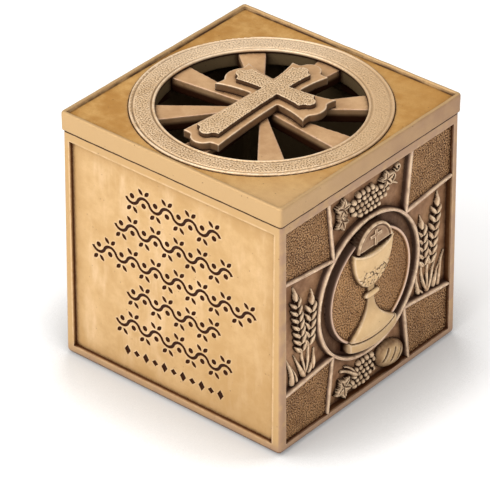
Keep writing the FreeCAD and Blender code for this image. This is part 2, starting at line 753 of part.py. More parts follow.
def sunburst_grille():
    """Eight rays that widen from the middle out to the lid's round opening."""
    top = LID_TOP - ROSETTE_SEAT_DEPTH
    outside = GRILLE_RADIUS + 1
    half_outside = RAY_HALF_AT_CENTRE + RAY_HALF_PER_MM * outside
    outline = [
        (0, -RAY_HALF_AT_CENTRE),
        (outside, -half_outside),
        (outside, half_outside),
        (0, RAY_HALF_AT_CENTRE),
    ]
    ray = slab(polygon(outline), top - GRILLE_THICKNESS, top)
    rays = [laid(ray, (0, 0), index * 360 / RAY_COUNT) for index in range(RAY_COUNT)]
    hub = disc(HUB_RADIUS, top - GRILLE_THICKNESS, top)
    return fused(rays + [hub]).common(disc(GRILLE_RADIUS, top - GRILLE_THICKNESS, top))


def bracket_arm(turn, crotch, corner, notch, lobe):
    """One arm of a cross: a flaring side, a corner, a notch, a round lobe, and back again.

    Each point is (reach, half width). The arm is drawn along +across and then turned.
    """
    flare_half = (crotch[1] + corner[1]) / 2 - (corner[1] - crotch[1]) * FLARE_SAG
    flare = ((crotch[0] + corner[0]) / 2, flare_half)
    hollow = ((corner[0] + notch[0]) / 2 - NOTCH_HOLLOW, (corner[1] + notch[1]) / 2)

    def turned(point, flip=1):
        angle = math.radians(turn)
        across, up = point[0], point[1] * flip
        return (across * math.cos(angle) - up * math.sin(angle),
                across * math.sin(angle) + up * math.cos(angle) + CROSSING)

    return [
        arc(turned(crotch, -1), turned(flare, -1), turned(corner, -1)),
        arc(turned(corner, -1), turned(hollow, -1), turned(notch, -1)),
        arc(turned(notch, -1), turned((lobe, 0)), turned(notch)),
        arc(turned(notch), turned(hollow), turned(corner)),
        arc(turned(corner), turned(flare), turned(crotch)),
    ]


def bracket_cross(beams, side, head, foot, low, high):
    """A Latin cross. beams are the half widths of the upright's crotch and the crossbar's."""
    level, upright = beams, beams[::-1]
    edges = bracket_arm(0, level, *side)
    edges += bracket_arm(90, upright, *head)
    edges += bracket_arm(180, level, *side)
    edges += bracket_arm(270, upright, *foot)
    return slab(Part.Wire(Part.__sortEdges__(edges)), low, high)


def lower_cross():
    """The broad cross, which stands on the rays."""
    arms = (LOWER_SIDE, LOWER_HEAD, LOWER_FOOT)
    return bracket_cross(LOWER_BEAMS, *arms, LID_TOP - ROSETTE_SEAT_DEPTH, LOWER_CROSS_TOP)


def upper_cross():
    """The narrow cross on top of the broad one."""
    arms = (UPPER_SIDE, UPPER_HEAD, UPPER_FOOT)
    return bracket_cross(UPPER_BEAMS, *arms, LOWER_CROSS_TOP, UPPER_CROSS_TOP)


# ---------------------------------------------------------------- write every sub-part

save("box_shell", box_shell())
save("base_pad", base_pad())
save("front_panel", on_face(front_panel(), "front"))
save("back_panel", on_face(plain_panel(), "back"))
build_relief_face("right")
build_relief_face("left")
save("lid_frame", lid_frame())
save("rosette_ring", rosette_ring())
save("sunburst_grille", sunburst_grille())
save("lower_cross", lower_cross())
save("upper_cross", upper_cross())
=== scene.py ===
"""The looks of a small cast offering box: antique gilt over dark wash, with relief sides."""

import math

import bmesh
import bpy
import numpy as np
from mathutils import Matrix, Vector


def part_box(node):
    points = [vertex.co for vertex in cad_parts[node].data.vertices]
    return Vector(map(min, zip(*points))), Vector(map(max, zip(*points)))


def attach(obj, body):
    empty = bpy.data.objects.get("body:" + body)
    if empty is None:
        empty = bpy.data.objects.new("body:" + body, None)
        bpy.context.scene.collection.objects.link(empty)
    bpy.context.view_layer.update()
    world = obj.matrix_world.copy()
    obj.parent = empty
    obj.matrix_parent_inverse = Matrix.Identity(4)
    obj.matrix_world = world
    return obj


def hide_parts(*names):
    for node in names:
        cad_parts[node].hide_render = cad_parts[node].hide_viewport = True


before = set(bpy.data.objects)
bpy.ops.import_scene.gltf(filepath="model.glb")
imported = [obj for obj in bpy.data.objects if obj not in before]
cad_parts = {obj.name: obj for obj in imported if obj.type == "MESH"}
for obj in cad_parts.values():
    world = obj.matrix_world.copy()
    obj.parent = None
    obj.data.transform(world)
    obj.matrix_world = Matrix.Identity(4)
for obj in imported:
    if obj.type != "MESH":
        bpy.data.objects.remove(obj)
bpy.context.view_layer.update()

MM = 0.001

# ---- the box and its lid, in metres

FOOT_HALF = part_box("box_shell")[1].x
RIM_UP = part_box("box_shell")[1].z
LID_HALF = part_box("lid_frame")[1].x
RING_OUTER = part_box("rosette_ring")[1].x
RING_INNER = 33.0 * MM
RING_EDGE = 1.4 * MM
INSIDE_WALL = 37.8 * MM
INSIDE_FLOOR = 6.0 * MM
FELT_CORNER = 4.0  # in millimetres
FELT_ROWS = 96  # points along each side of the felt's grid

# ---- the relief face, in millimetres
# Relief is carved as heights out of a face, in (across, up, out) from the medallion's middle.
# Level 0 is the face of the raised frame.

LEAN = math.radians(0.45)
DEEP_GROUND = -2.2
TILE_GROUND = -1.2
MEDALLION_GROUND = -0.6
SUNK = 0.15
OUTER_RING = 24.6
INNER_RING = 19.4
BEAD_HALF = 0.9
RIB_JUNCTION = 17.8
RIB_SPREAD = 20.4
MEDALLION_UP = (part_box("right_medallion")[0].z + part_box("right_medallion")[1].z) / 2
FIELD_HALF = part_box("right_relief_panel")[1].y / MM
FIELD_LOW = (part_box("right_relief_panel")[0].z - MEDALLION_UP) / MM
FIELD_HIGH = (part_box("right_relief_panel")[1].z - MEDALLION_UP) / MM
FACE_TURN = {"right": 90, "left": 270}
CORNERS = [(side, end) for side in (-1, 1) for end in (-1, 1)]

CUP_TOP = 15.5
CUP_HALF = 9.7
BOWL_DEPTH = 15.4
NECK_HALF = 1.8
KNOP_UP = -2.6
KNOP_HALF_HEIGHT = 1.2
FOOT_TOP = -3.7
FOOT_HEIGHT = 12.0
FOOT_FLARE = 9.4
SLAB_HALF = 11.8
SLAB_TOP = -15.9
SLAB_BOTTOM = -19.3
SEAM_HALF = 11.4
HOST_UP = 14.7
HOST_RADIUS = 8.6

GRAIN_PITCH = 2.85
GRAIN_SPLAY = math.radians(36)
GRAIN_HEIGHT = 1.9
GRAPE_PITCH = (2.1, 1.85)
LOAF_CENTRE = (11.4, -31.9)
LOAF_HALF = (7.5, 4.8)
LOAF_TURN = math.radians(-18)


def face_matrix(side):
    """From (across, up, out) millimetres about the medallion to the frame's metres."""
    upright = Matrix.Rotation(math.radians(90), 4, "X")
    lean = Matrix.Rotation(-LEAN, 4, "X")
    turn = Matrix.Rotation(math.radians(FACE_TURN[side]), 4, "Z")
    stand_off = Matrix.Translation((0, -FOOT_HALF, 0))
    raise_up = Matrix.Translation((0, MEDALLION_UP, 0))
    return turn @ stand_off @ lean @ upright @ raise_up @ Matrix.Scale(MM, 4)


# ---- noise on a plane

def hashed(column, row, seed):
    """A repeatable number from 0 to 1 for each whole (column, row)."""
    mask = 0xFFFFFFFF
    mixed = (column * 374761393 + row * 668265263 + seed * 69069) & mask
    mixed = ((mixed ^ (mixed >> 13)) * 1274126177) & mask
    return (mixed ^ (mixed >> 16)) / mask


def cell_of(place, size):
    """The whole number of the cell that a place lies in."""
    return np.floor(place / size).astype(np.int64)


def value_noise(across, up, size, seed):
    """Soft noise from 0 to 1, with lumps of about the given size."""
    column, row = cell_of(across, size), cell_of(up, size)
    part_x = eased(across / size - column)
    part_y = eased(up / size - row)
    low = hashed(column, row, seed) * (1 - part_x) + hashed(column + 1, row, seed) * part_x
    high = hashed(column, row + 1, seed) * (1 - part_x) + hashed(column + 1, row + 1, seed) * part_x
    return low * (1 - part_y) + high * part_y


def grain_noise(across, up, size, seed):
    """Rounded grains: 1 in the middle of each, falling to 0 between them."""
    column, row = cell_of(across, size), cell_of(up, size)
    nearest = np.full(across.shape, np.inf)
    for step_x in (-1, 0, 1):
        for step_y in (-1, 0, 1):
            near_x = (column + step_x + hashed(column + step_x, row + step_y, seed)) * size
            near_y = (row + step_y + hashed(column + step_x, row + step_y, seed + 7)) * size
            nearest = np.minimum(nearest, np.hypot(across - near_x, up - near_y) / size)
    return np.clip(1 - nearest, 0, 1)


def eased(amount):
    """0 below 0, 1 above 1, and a smooth rise between."""
    amount = np.clip(amount, 0, 1)
    return amount * amount * (3 - 2 * amount)


def rounded(amount):
    """A quarter-round shoulder: 0 at an edge, 1 once the amount is over 1."""
    amount = np.clip(amount, 0, 1)
    return np.sqrt(1 - (1 - amount) ** 2)


def arched(amount):
    """A round arch: 1 at 0, falling to 0 at 1 and at -1."""
    return np.sqrt(np.clip(1 - amount ** 2, 0, 1))


def bowed(amount):
    """A shallow parabola: 1 at 0, falling to 0 at 1 and at -1."""
    return np.clip(1 - amount ** 2, 0, 1)


def ridge(amount):
    """A narrow, soft ridge: 1 at 0, fading out on both sides."""
    return np.exp(-amount ** 2)


# ---- carved shapes, as heights

def highest(shapes):
    """The highest of several raised shapes at each place."""
    return np.maximum.reduce(shapes)


def on_ground(raised):
    """Heights above the deep ground, just below it where nothing is raised."""
    return np.where(raised > 0.02, DEEP_GROUND + raised, DEEP_GROUND - SUNK)


def turned(across, up, centre, angle):
    """Distances along and beside a direction through a centre."""
    cos, sin = math.cos(angle), math.sin(angle)
    along = (across - centre[0]) * cos + (up - centre[1]) * sin
    beside = (up - centre[1]) * cos - (across - centre[0]) * sin
    return along, beside


def dome(across, up, centre, half, angle, height, power=0.5):
    """A mound with an elliptical foot; 0 outside its foot."""
    along, beside = turned(across, up, centre, angle)
    return height * np.clip(1 - (along / half[0]) ** 2 - (beside / half[1]) ** 2, 0, None) ** power


def stroke(across, up, points, widths, height, steps=28):
    """A raised stroke along a quadratic curve through three control points."""
    start, bend, end = (np.array(point, float) for point in points)
    raised = np.zeros(across.shape)
    for part in np.linspace(0, 1, steps):
        here = start * (1 - part) ** 2 + bend * 2 * part * (1 - part) + end * part ** 2
        half = widths[0] * (1 - part) + widths[1] * part
        away = np.hypot(across - here[0], up - here[1]) / half
        level = height * (0.55 + 0.45 * math.sin(math.pi * min(part + 0.25, 1)))
        raised = np.maximum(raised, level * arched(away))
    return raised


def grain(across, up, centre, angle, length, width):
    """A wheat grain: a pointed mound with a crease along it."""
    along, beside = turned(across, up, centre, angle)
    along = along / (length / 2)
    half = width / 2 * np.clip(1 - along * along, 0.001, None) ** 0.6 * (1 - 0.25 * along)
    mound = arched(beside / half) * bowed(along) ** 0.35
    crease = 0.22 * ridge(beside / 0.16) * eased(1 - np.abs(along))
    return np.where(mound > 0, np.clip(GRAIN_HEIGHT * mound - crease, 0, None), 0)


def vine_leaf(across, up, centre, size, turn, height, seed):
    """A leaf with five pointed lobes, grooved veins and a notch at its stalk."""
    shift_x, shift_y = across - centre[0], up - centre[1]
    reach = np.hypot(shift_x, shift_y)
    angle = np.angle(np.exp(1j * (np.arctan2(shift_y, shift_x) - turn)))
    from_lobe = np.abs(np.angle(np.exp(1j * angle * 5))) / math.pi
    longest = 1 - 0.2 * np.abs(angle) / math.pi
    stalk_notch = 1 - 0.5 * ridge((math.pi - np.abs(angle)) / 0.3)
    teeth = 1 + 0.06 * np.cos(angle * 30)
    edge = size * longest * stalk_notch * teeth * (1 - 0.42 * from_lobe ** 0.8)
    plate = rounded((edge - reach) / 0.5)
    veins = ridge(from_lobe * reach / 0.5) * eased(1.1 - reach / size)
    cup = 0.5 * (reach / size) ** 2
    lumps = value_noise(across, up, 0.9, seed) * 0.16
    return plate * np.clip(height + cup - 0.5 * veins + lumps, 0.1, None) * (reach < edge)


def curl(across, up, centre, radius, turns, start, height):
    """A tendril: a raised spiral that tightens as it turns."""
    beads = []
    for part in np.linspace(0, 1, 60):
        angle = start + part * turns * 2 * math.pi
        reach = radius * (1 - 0.75 * part)
        here = (centre[0] + reach * math.cos(angle), centre[1] + reach * math.sin(angle))
        beads.append(dome(across, up, here, (0.42, 0.42), 0, height))
    return highest(beads)


def wheat_ear(across, up, root, tip, rows):
    """Pairs of creased grains splayed off a stalk, with a short awn at its tip."""
    root, tip = np.array(root, float), np.array(tip, float)
    heading = math.atan2(tip[1] - root[1], tip[0] - root[0])
    forward = np.array((math.cos(heading), math.sin(heading)))
    sideways = np.array((-forward[1], forward[0]))
    shapes = [stroke(across, up, (root, (root + tip) / 2, tip), (0.6, 0.4), 0.7)]
    for row in range(rows):
        taper = 1 - 0.03 * row
        for side in (-1, 1):
            centre = root + forward * (1.4 + row * GRAIN_PITCH) + sideways * side * 1.4 * taper
            angle = heading + side * GRAIN_SPLAY
            shapes.append(grain(across, up, centre, angle, 4.7 * taper, 1.75 * taper))
    top = root + forward * (1.6 + rows * GRAIN_PITCH)
    shapes.append(grain(across, up, top, heading, 4.4, 1.7))
    awn = (top + forward * 1.4, top + forward * 2.4 + sideways * 0.2, top + forward * 3.4)
    shapes.append(stroke(across, up, awn, (0.5, 0.16), 1.2, 10))
    return highest(shapes)


def grape_heights(across, up, left, top, rows, seed):
    """Berries in staggered rows, each a little different."""
    chance = np.random.default_rng(seed)
    berries = []
    for row, (shift, count) in enumerate(rows):
        for index in range(count):
            jitter = chance.uniform(-0.16, 0.16, 2)
            place_x = left + (shift + index) * GRAPE_PITCH[0] + jitter[0]
            place_y = top - row * GRAPE_PITCH[1] + jitter[1]
            radius = chance.uniform(1.02, 1.2)
            height = chance.uniform(1.45, 1.85)
            berries.append(dome(across, up, (place_x, place_y), (radius, radius), 0, height))
    return highest(berries)


# ---- the carved pieces

def wheat_heights(across, up):
    """The sheaf on the +across side: two ears, crossed stems and long leaves."""
    stems_and_leaves = [
        # (start, bend and end of the curve, half widths at both ends, height)
        (((30.2, -18.2), (30.9, -13.5), (31.5, -8.0)), (0.75, 0.5), 1.2),
        (((30.8, -18.2), (27.8, -13.5), (28.0, -7.0)), (0.7, 0.45), 1.2),
        (((30.6, -18.3), (32.4, -14.5), (35.2, -8.6)), (1.1, 0.2), 1.5),
        (((36.2, -18.3), (36.4, -12.8), (39.4, -7.4)), (1.15, 0.2), 1.5),
        (((34.2, -18.3), (34.9, -15.0), (36.9, -11.6)), (0.9, 0.2), 1.3),
        (((26.4, -17.2), (25.6, -14.5), (25.6, -10.6)), (0.9, 0.25), 1.4),
        (((28.4, -18.2), (27.0, -16.8), (25.9, -14.4)), (0.8, 0.2), 1.2),
    ]
    shapes = [stroke(across, up, points, widths, height) for points, widths, height in stems_and_leaves]
    shapes.append(wheat_ear(across, up, (31.8, -8.2), (35.4, 16.0), 7))
    shapes.append(wheat_ear(across, up, (28.6, -7.6), (26.9, 10.4), 5))
    return on_ground(highest(shapes))


def vine_top_heights(across, up):
    """Grapes over the medallion, with leaves and curled tendrils at both ends."""
    rows = ((1.5, 4), (0.5, 7), (0, 9), (0.5, 8), (2, 5))
    return on_ground(highest([
        grape_heights(across, up, -7.6, 34.3, rows, 3),
        vine_leaf(across, up, (-12.2, 33.0), 4.2, 2.7, 1.3, 11),
        vine_leaf(across, up, (-12.4, 28.9), 3.7, 3.5, 1.3, 12),
        vine_leaf(across, up, (8.6, 33.8), 3.7, 0.4, 1.5, 13),
        curl(across, up, (11.8, 33.4), 2.0, 1.2, 2.6, 1.3),
        curl(across, up, (14.4, 35.6), 1.5, 1.1, 3.4, 1.2),
        stroke(across, up, ((8.6, 33.0), (12.0, 31.4), (14.8, 29.4)), (0.8, 0.3), 1.2),
    ]))


def vine_bottom_heights(across, up):
    """Grapes under the medallion, with a leaf and two narrow leaves at the left."""
    rows = ((2, 4), (1.5, 5), (1, 5), (0.5, 6), (1, 4))
    return on_ground(highest([
        grape_heights(across, up, -7.9, -28.2, rows, 5),
        vine_leaf(across, up, (-11.2, -32.8), 4.6, 3.4, 1.5, 21),
        stroke(across, up, ((-5.2, -31.4), (-8.4, -28.0), (-12.2, -26.8)), (1.0, 0.5), 1.9),
        stroke(across, up, ((-6.0, -30.0), (-8.0, -27.0), (-10.4, -26.0)), (0.7, 0.3), 1.6),
    ]))


def loaf_heights(across, up):
    """A long loaf with three slashes that curve over its crust."""
    raised = dome(across, up, LOAF_CENTRE, LOAF_HALF, LOAF_TURN, 3.0, 0.42)
    along, beside = turned(across, up, LOAF_CENTRE, LOAF_TURN)
    on_crust = eased((3.0 - np.abs(beside)) / 1.2)
    for offset in (-3.4, 0.1, 3.6):
        away = np.abs(along - offset - 0.3 * beside)
        cut = ridge(away / 0.42) * on_crust
        lip = ridge((away - 0.75) / 0.35) * on_crust
        raised = np.where(raised > 0.1, raised - 0.6 * cut + 0.16 * lip, raised)
    raised = raised + np.where(raised > 0.3, value_noise(across, up, 0.7, 31) * 0.12, 0)
    return on_ground(raised)


def cup_radius(up):
    """Half the chalice's width at each height."""
    bowl_part = np.clip((CUP_TOP - up) / BOWL_DEPTH, 0, 1)
    bowl = NECK_HALF + (CUP_HALF - NECK_HALF) * (1 - bowl_part ** 2.4) ** 0.75
    foot_part = np.clip((FOOT_TOP - up) / FOOT_HEIGHT, 0, 1)
    foot = NECK_HALF + FOOT_FLARE * foot_part ** 2.3
    knop = 1.75 + 1.9 * arched((up - KNOP_UP) / KNOP_HALF_HEIGHT)
    return np.where(up > CUP_TOP - BOWL_DEPTH, bowl, np.maximum(foot, knop))


def cup_foliage(across, up):
    """A row of cut leaves round the bottom of the bowl."""
    petals = np.abs(np.sin(np.arctan2(across, up + 3.5) * 7.5)) ** 0.6
    band = eased((up - 0.6) / 1.0) * eased((8.6 - up - 1.6 * petals) / 0.8)
    return band * (0.22 * petals - 0.3 * (grain_noise(across, up, 1.3, 41) < 0.42))


def chalice_heights(across, up):
    """The cup in half relief, with foliage round its bowl and an open mouth."""
    radius = cup_radius(up)
    slope = (cup_radius(up + 0.05) - cup_radius(up - 0.05)) / 0.1
    inset = (radius - np.abs(across)) / np.sqrt(1 + slope * slope)
    crown = arched(across / np.maximum(radius, 0.1))
    level = 0.15 + 0.085 * radius + 0.125 * radius * crown
    level = level + 0.35 * bowed((up - KNOP_UP) / KNOP_HALF_HEIGHT)

    seam = SLAB_TOP - 1.7 * bowed(across / SEAM_HALF)
    bottom_edge = SLAB_BOTTOM - 2.1 * bowed(across / SLAB_HALF)
    on_slab = up < seam
    slab_inset = np.minimum(SLAB_HALF - np.abs(across), up - bottom_edge)
    slab_level = 1.15 + 1.2 * arched(across / 12.6)
    inset = np.where(on_slab, slab_inset, inset)
    level = np.where(on_slab, slab_level, level)
    groove = 0.45 * ridge((up - seam) / 0.28) * (np.abs(across) < SEAM_HALF)

    mouth = CUP_TOP - 2.4 * bowed(across / CUP_HALF)
    in_mouth = eased((up - mouth) / 0.3)
    lip = 0.22 * ridge((up - mouth + 0.45) / 0.4)
    inset = np.minimum(inset, CUP_TOP + 0.4 - up)
    raised = level + lip - groove + cup_foliage(across, up)
    raised = raised * (1 - in_mouth) + 0.25 * in_mouth
    past_bead = np.hypot(across, up) > INNER_RING - 0.7
    bottom = np.where(past_bead, DEEP_GROUND, MEDALLION_GROUND) - SUNK
    return np.where(inset > 0, bottom + (raised - bottom) * rounded(inset / 0.55), bottom)


def host_heights(across, up):
    """The disc in the cup, with a beaded edge and a plain cross on it."""
    reach = np.hypot(across, up - HOST_UP)
    inset = np.minimum(HOST_RADIUS - reach, up - (CUP_TOP - 0.1))
    level = 1.75 + 0.3 * ridge((8.0 - reach) / 0.35) - 0.15 * ridge((7.3 - reach) / 0.3)
    upright = eased((0.75 - np.abs(across)) / 0.3) * (up < HOST_UP + 6.6)
    arms = eased((0.7 - np.abs(up - HOST_UP - 4.6)) / 0.3) * eased((2.9 - np.abs(across)) / 0.3)
    level = level + 0.4 * np.maximum(upright, arms)
    bottom = DEEP_GROUND - SUNK
    return np.where(inset > 0, bottom + (level - bottom) * rounded(inset / 0.4), bottom)


def medallion_heights(across, up):
    """The stippled ground of the medallion and the bead round it."""
    reach = np.hypot(across, up)
    stipple = 0.36 * grain_noise(across, up, 0.66, 51) + 0.1 * value_noise(across, up, 2.6, 52)
    wobble = 0.05 * (value_noise(across, up, 3.0, 53) - 0.5)
    away = np.abs(reach - INNER_RING + wobble)
    bead = MEDALLION_GROUND + 0.9 * rounded(1 - away / 0.85)
    fall = eased((reach - INNER_RING - 0.15) / 0.6)
    bead = bead * (1 - fall) + (DEEP_GROUND - SUNK) * fall
    field = MEDALLION_GROUND - 0.2 + stipple
    ground = np.where(reach < INNER_RING, field, DEEP_GROUND - SUNK)
    return np.where(away < BEAD_HALF, np.maximum(bead, ground), ground)


def rib_ends(side, end):
    """The junction of a corner's two ribs, and each rib's end at the frame."""
    frame_up = FIELD_HIGH if end > 0 else FIELD_LOW
    junction = (side * RIB_JUNCTION, end * RIB_JUNCTION)
    return junction, (side * RIB_SPREAD, frame_up + end), (side * (FIELD_HALF + 1), end * RIB_SPREAD)


def from_line(across, up, start, end):
    """The distance from a straight stretch."""
    angle = math.atan2(end[1] - start[1], end[0] - start[0])
    along, beside = turned(across, up, start, angle)
    return np.hypot(along - np.clip(along, 0, math.dist(start, end)), beside)


def lattice_heights(across, up):
    """The medallion's outer ring and the splayed ribs, with soft, uneven crowns."""
    away = np.abs(np.hypot(across, up) - OUTER_RING)
    for side, end in CORNERS:
        junction, *far_ends = rib_ends(side, end)
        for far_end in far_ends:
            away = np.minimum(away, from_line(across, up, junction, far_end))
    away = away + 0.1 * (value_noise(across, up, 2.4, 61) - 0.5)
    crown = -0.05 + 0.12 * value_noise(across, up, 3.4, 62)
    raised = (crown - DEEP_GROUND) * (1 - eased((away - 0.3) / 0.6))
    outside = (np.abs(across) > FIELD_HALF) | (up > FIELD_HIGH) | (up < FIELD_LOW)
    return np.where(outside, DEEP_GROUND - SUNK, on_ground(raised))


def rib_line(reach, limit):
    """How far sideways a splayed rib lies at a distance from the middle."""
    return RIB_JUNCTION + (reach - RIB_JUNCTION) * (RIB_SPREAD - RIB_JUNCTION) / (limit - RIB_JUNCTION)


def tile_heights(across, up):
    """The four grained corner fields, with faint streaks."""
    side = np.where(across > 0, 1, -1)
    reach_x, reach_y = np.abs(across), np.abs(up)
    limit_y = np.where(up > 0, FIELD_HIGH, -FIELD_LOW)
    past_ribs = np.minimum(reach_x - rib_line(reach_y, limit_y), reach_y - rib_line(reach_x, FIELD_HALF))
    in_frame = np.minimum(FIELD_HALF + 0.3 - reach_x, limit_y + 0.3 - reach_y)
    weave = 0.36 * grain_noise(across + side * 50, up * 1.2, 0.68, 71)
    streak = 0.08 * value_noise(across, up * 3.5, 1.3, 72) + 0.12 * value_noise(across, up, 4.0, 73)
    field = TILE_GROUND - 0.2 + weave + streak
    return np.where(np.minimum(past_ribs, in_frame) > 0, field, DEEP_GROUND - SUNK)


# ---- meshes

def add_piece(name, mesh, body):
    """A new object with a smooth-shaded mesh, riding on a body."""
    mesh.shade_smooth()
    piece = bpy.data.objects.new(name, mesh)
    bpy.context.scene.collection.objects.link(piece)
    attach(piece, body)
    return piece


def cell_corners(grid):
    """The grid's values at each cell's four corners, in order round the cell."""
    return grid[:-1, :-1], grid[:-1, 1:], grid[1:, 1:], grid[1:, :-1]


def grid_quads(index, cells):
    """The quads of the chosen cells of a grid of vertex numbers."""
    return np.stack([corner[cells] for corner in cell_corners(index)], axis=1)


def carve(name, side, body, heights, area, step, flip):
    """A closed mesh of a height field, without the parts at its bottom."""
    left, right, low, high = area
    columns = np.arange(left, right + step / 2, step)
    rows = np.arange(low, high + step / 2, step)
    across, up = np.meshgrid(columns, rows)
    out = heights(-across if flip else across, up)
    cells = np.logical_or.reduce(cell_corners(out > out.min() + 0.01))
    used = np.zeros(out.shape, bool)
    for corner in cell_corners(used):
        corner |= cells
    index = np.full(out.shape, -1)
    index[used] = np.arange(used.sum())
    points = np.stack((across[used], up[used], out[used]), axis=1)
    mesh = bpy.data.meshes.new(name)
    mesh.from_pydata(points.tolist(), [], grid_quads(index, cells).tolist())
    mesh.transform(face_matrix(side))
    close_back(mesh)
    return add_piece(name, mesh, body)


def close_back(mesh):
    """Fill the open edges at the back of a carved mesh."""
    work = bmesh.new()
    work.from_mesh(mesh)
    open_edges = [edge for edge in work.edges if edge.is_boundary]
    bmesh.ops.triangle_fill(work, edges=open_edges, use_beauty=False, use_dissolve=False)
    bmesh.ops.recalc_face_normals(work, faces=work.faces)
    work.to_mesh(mesh)
    work.free()


def recast(node, body, voxel, smooth_steps, roughen):
    """A CAD node as it would come out of a mould: softened edges, live surface."""
    rough = bpy.data.objects.new(node + "_blank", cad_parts[node].data.copy())
    bpy.context.scene.collection.objects.link(rough)
    remesh = rough.modifiers.new("recast", "REMESH")
    remesh.mode = "VOXEL"
    remesh.voxel_size = voxel * MM
    soften = rough.modifiers.new("soften", "SMOOTH")
    soften.factor = 0.5
    soften.iterations = smooth_steps
    mesh = bpy.data.meshes.new_from_object(rough.evaluated_get(bpy.context.evaluated_depsgraph_get()))
    bpy.data.objects.remove(rough)
    mesh.materials.clear()
    places = np.zeros(len(mesh.vertices) * 3)
    mesh.vertices.foreach_get("co", places)
    normals = np.zeros(len(mesh.vertices) * 3)
    mesh.vertices.foreach_get("normal", normals)
    places, normals = places.reshape(-1, 3) / MM, normals.reshape(-1, 3)
    places += normals * roughen(places, normals)[:, None]
    mesh.vertices.foreach_set("co", (places * MM).ravel())
    piece = add_piece(node + "_cast", mesh, body)
    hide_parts(node)
    return piece


def ring_grain(places, normals):
    """Stipple on the ring's flat band only."""
    reach = np.hypot(places[:, 0], places[:, 1])
    past_inner = reach - (RING_INNER + RING_EDGE) / MM
    before_outer = (RING_OUTER - RING_EDGE) / MM - reach
    band = eased(past_inner / 0.3) * eased(before_outer / 0.3) * (normals[:, 2] > 0.5)
    stipple = 0.34 * grain_noise(places[:, 0], places[:, 1], 0.56, 81) - 0.17
    return band * stipple + 0.03 * value_noise(places[:, 0], places[:, 1], 2.5, 82)


def cross_grain(places, normals):
    """Stipple on the top of the narrow cross."""
    top = eased((normals[:, 2] - 0.6) / 0.3)
    return top * (0.34 * grain_noise(places[:, 0], places[:, 1], 0.56, 91) - 0.17)


def soft_cast(places, normals):
    """The slow unevenness of a cast surface, whichever way it faces."""
    slow = value_noise(places[:, 0] + places[:, 2], places[:, 1] + places[:, 2], 3.5, 101) - 0.5
    return 0.1 * slow + 0.04 * value_noise(places[:, 0], places[:, 1], 0.8, 102)


def felt_pad():
    """The felt under the box: a thin sheet with rounded corners."""
    low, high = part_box("base_pad")
    half = high.x / MM
    row = np.linspace(-half, half, FELT_ROWS)
    square = np.stack(np.meshgrid(row, row, indexing="ij"), axis=-1)
    core = np.sign(square) * np.minimum(np.abs(square), half - FELT_CORNER)
    past = np.linalg.norm(square - core, axis=-1, keepdims=True)
    plan = core + (square - core) * FELT_CORNER / np.maximum(past, FELT_CORNER)
    layers = []
    for level in (low.z / MM + 0.02, high.z / MM):
        layers.append(np.concatenate((plan, np.full(past.shape, level)), axis=-1).reshape(-1, 3))
    index = np.arange(FELT_ROWS ** 2).reshape(FELT_ROWS, FELT_ROWS)
    quads = grid_quads(index, np.ones((FELT_ROWS - 1, FELT_ROWS - 1), bool))
    rim = np.concatenate((index[:-1, 0], index[-1, :-1], index[:0:-1, -1], index[0, :0:-1]))
    after = np.roll(rim, -1)
    walls = np.stack((rim, after, after + index.size, rim + index.size), axis=1)
    faces = np.concatenate((quads, quads + index.size, walls))
    mesh = bpy.data.meshes.new("base_felt")
    mesh.from_pydata((np.concatenate(layers) * MM).tolist(), [], faces.tolist())
    close_back(mesh)
    pad = add_piece("base_felt", mesh, "box")
    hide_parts("base_pad")
    return pad


# ---- colours, as linear RGBA

GOLD_LIGHT = (0.66, 0.435, 0.215, 1)
GOLD_DEEP = (0.55, 0.34, 0.145, 1)
GOLD_RIM = (0.545, 0.352, 0.168, 1)
GOLD_PALE = (0.78, 0.56, 0.34, 1)
# painted shade on the panels' edges and lower right, with some wash on the edges
GOLD_SHADE = (0.47, 0.275, 0.105, 1)
CUP_GOLD = (0.76, 0.53, 0.28, 1)
RAY_GOLD = (0.70, 0.44, 0.23, 1)
RAY_DEEP = (0.54, 0.31, 0.15, 1)
RING_GOLD = (0.80, 0.56, 0.33, 1)
RING_DEEP = (0.62, 0.41, 0.22, 1)
CREAM = (0.98, 0.78, 0.56, 1)
AMBER = (0.70, 0.41, 0.14, 1)
AMBER_DEEP = (0.50, 0.245, 0.06, 1)
ROSE_CREAM = (0.88, 0.66, 0.44, 1)
ROSE_EDGE = (0.70, 0.48, 0.35, 1)
ROSE_GOLD = (0.60, 0.40, 0.24, 1)
ROSE_BROWN = (0.38, 0.235, 0.155, 1)
VINE_GOLD = (0.45, 0.295, 0.17, 1)
VINE_DEEP = (0.27, 0.15, 0.08, 1)
MEDAL_LIGHT = (0.52, 0.275, 0.108, 1)
TILE_CREST = (0.50, 0.30, 0.145, 1)
TILE_LIGHT = (0.42, 0.22, 0.085, 1)
TILE_MID = (0.26, 0.125, 0.046, 1)
TILE_DEEP = (0.165, 0.073, 0.027, 1)
LID_SIDE = (0.34, 0.20, 0.115, 1)
BROWN = (0.40, 0.225, 0.118, 1)
BROWN_DEEP = (0.19, 0.09, 0.042, 1)
# painted shade low on smooth reliefs, and darker towards their bottom
SHADE_UMBER = (0.15, 0.07, 0.03, 1)
# painted shade: the box's cavity and the wall of the lid's opening
INSIDE_SHADE = (0.165, 0.112, 0.056, 1)
WARM_WASH = (0.080, 0.022, 0.005, 1)
DARK_WASH = (0.032, 0.010, 0.004, 1)
# painted shadow along the seam between lid and box
SEAM_SHADOW = (0.014, 0.008, 0.005, 1)
FELT_LIGHT = (0.060, 0.036, 0.024, 1)
FELT_DARK = (0.020, 0.011, 0.007, 1)
PAGE_LIGHT = (0.81, 0.81, 0.81, 1)
PAGE_DEEP = (0.79, 0.79, 0.79, 1)
PAGE_SHADOW = (0.30, 0.29, 0.27, 1)
WHITE = (1, 1, 1, 1)
BLACK = (0, 0, 0, 1)

METALLIC = 0.3
GLOSS = 0.12
CLEAN_ROUGHNESS = 0.45
WASHED_ROUGHNESS = 0.78


# ---- materials

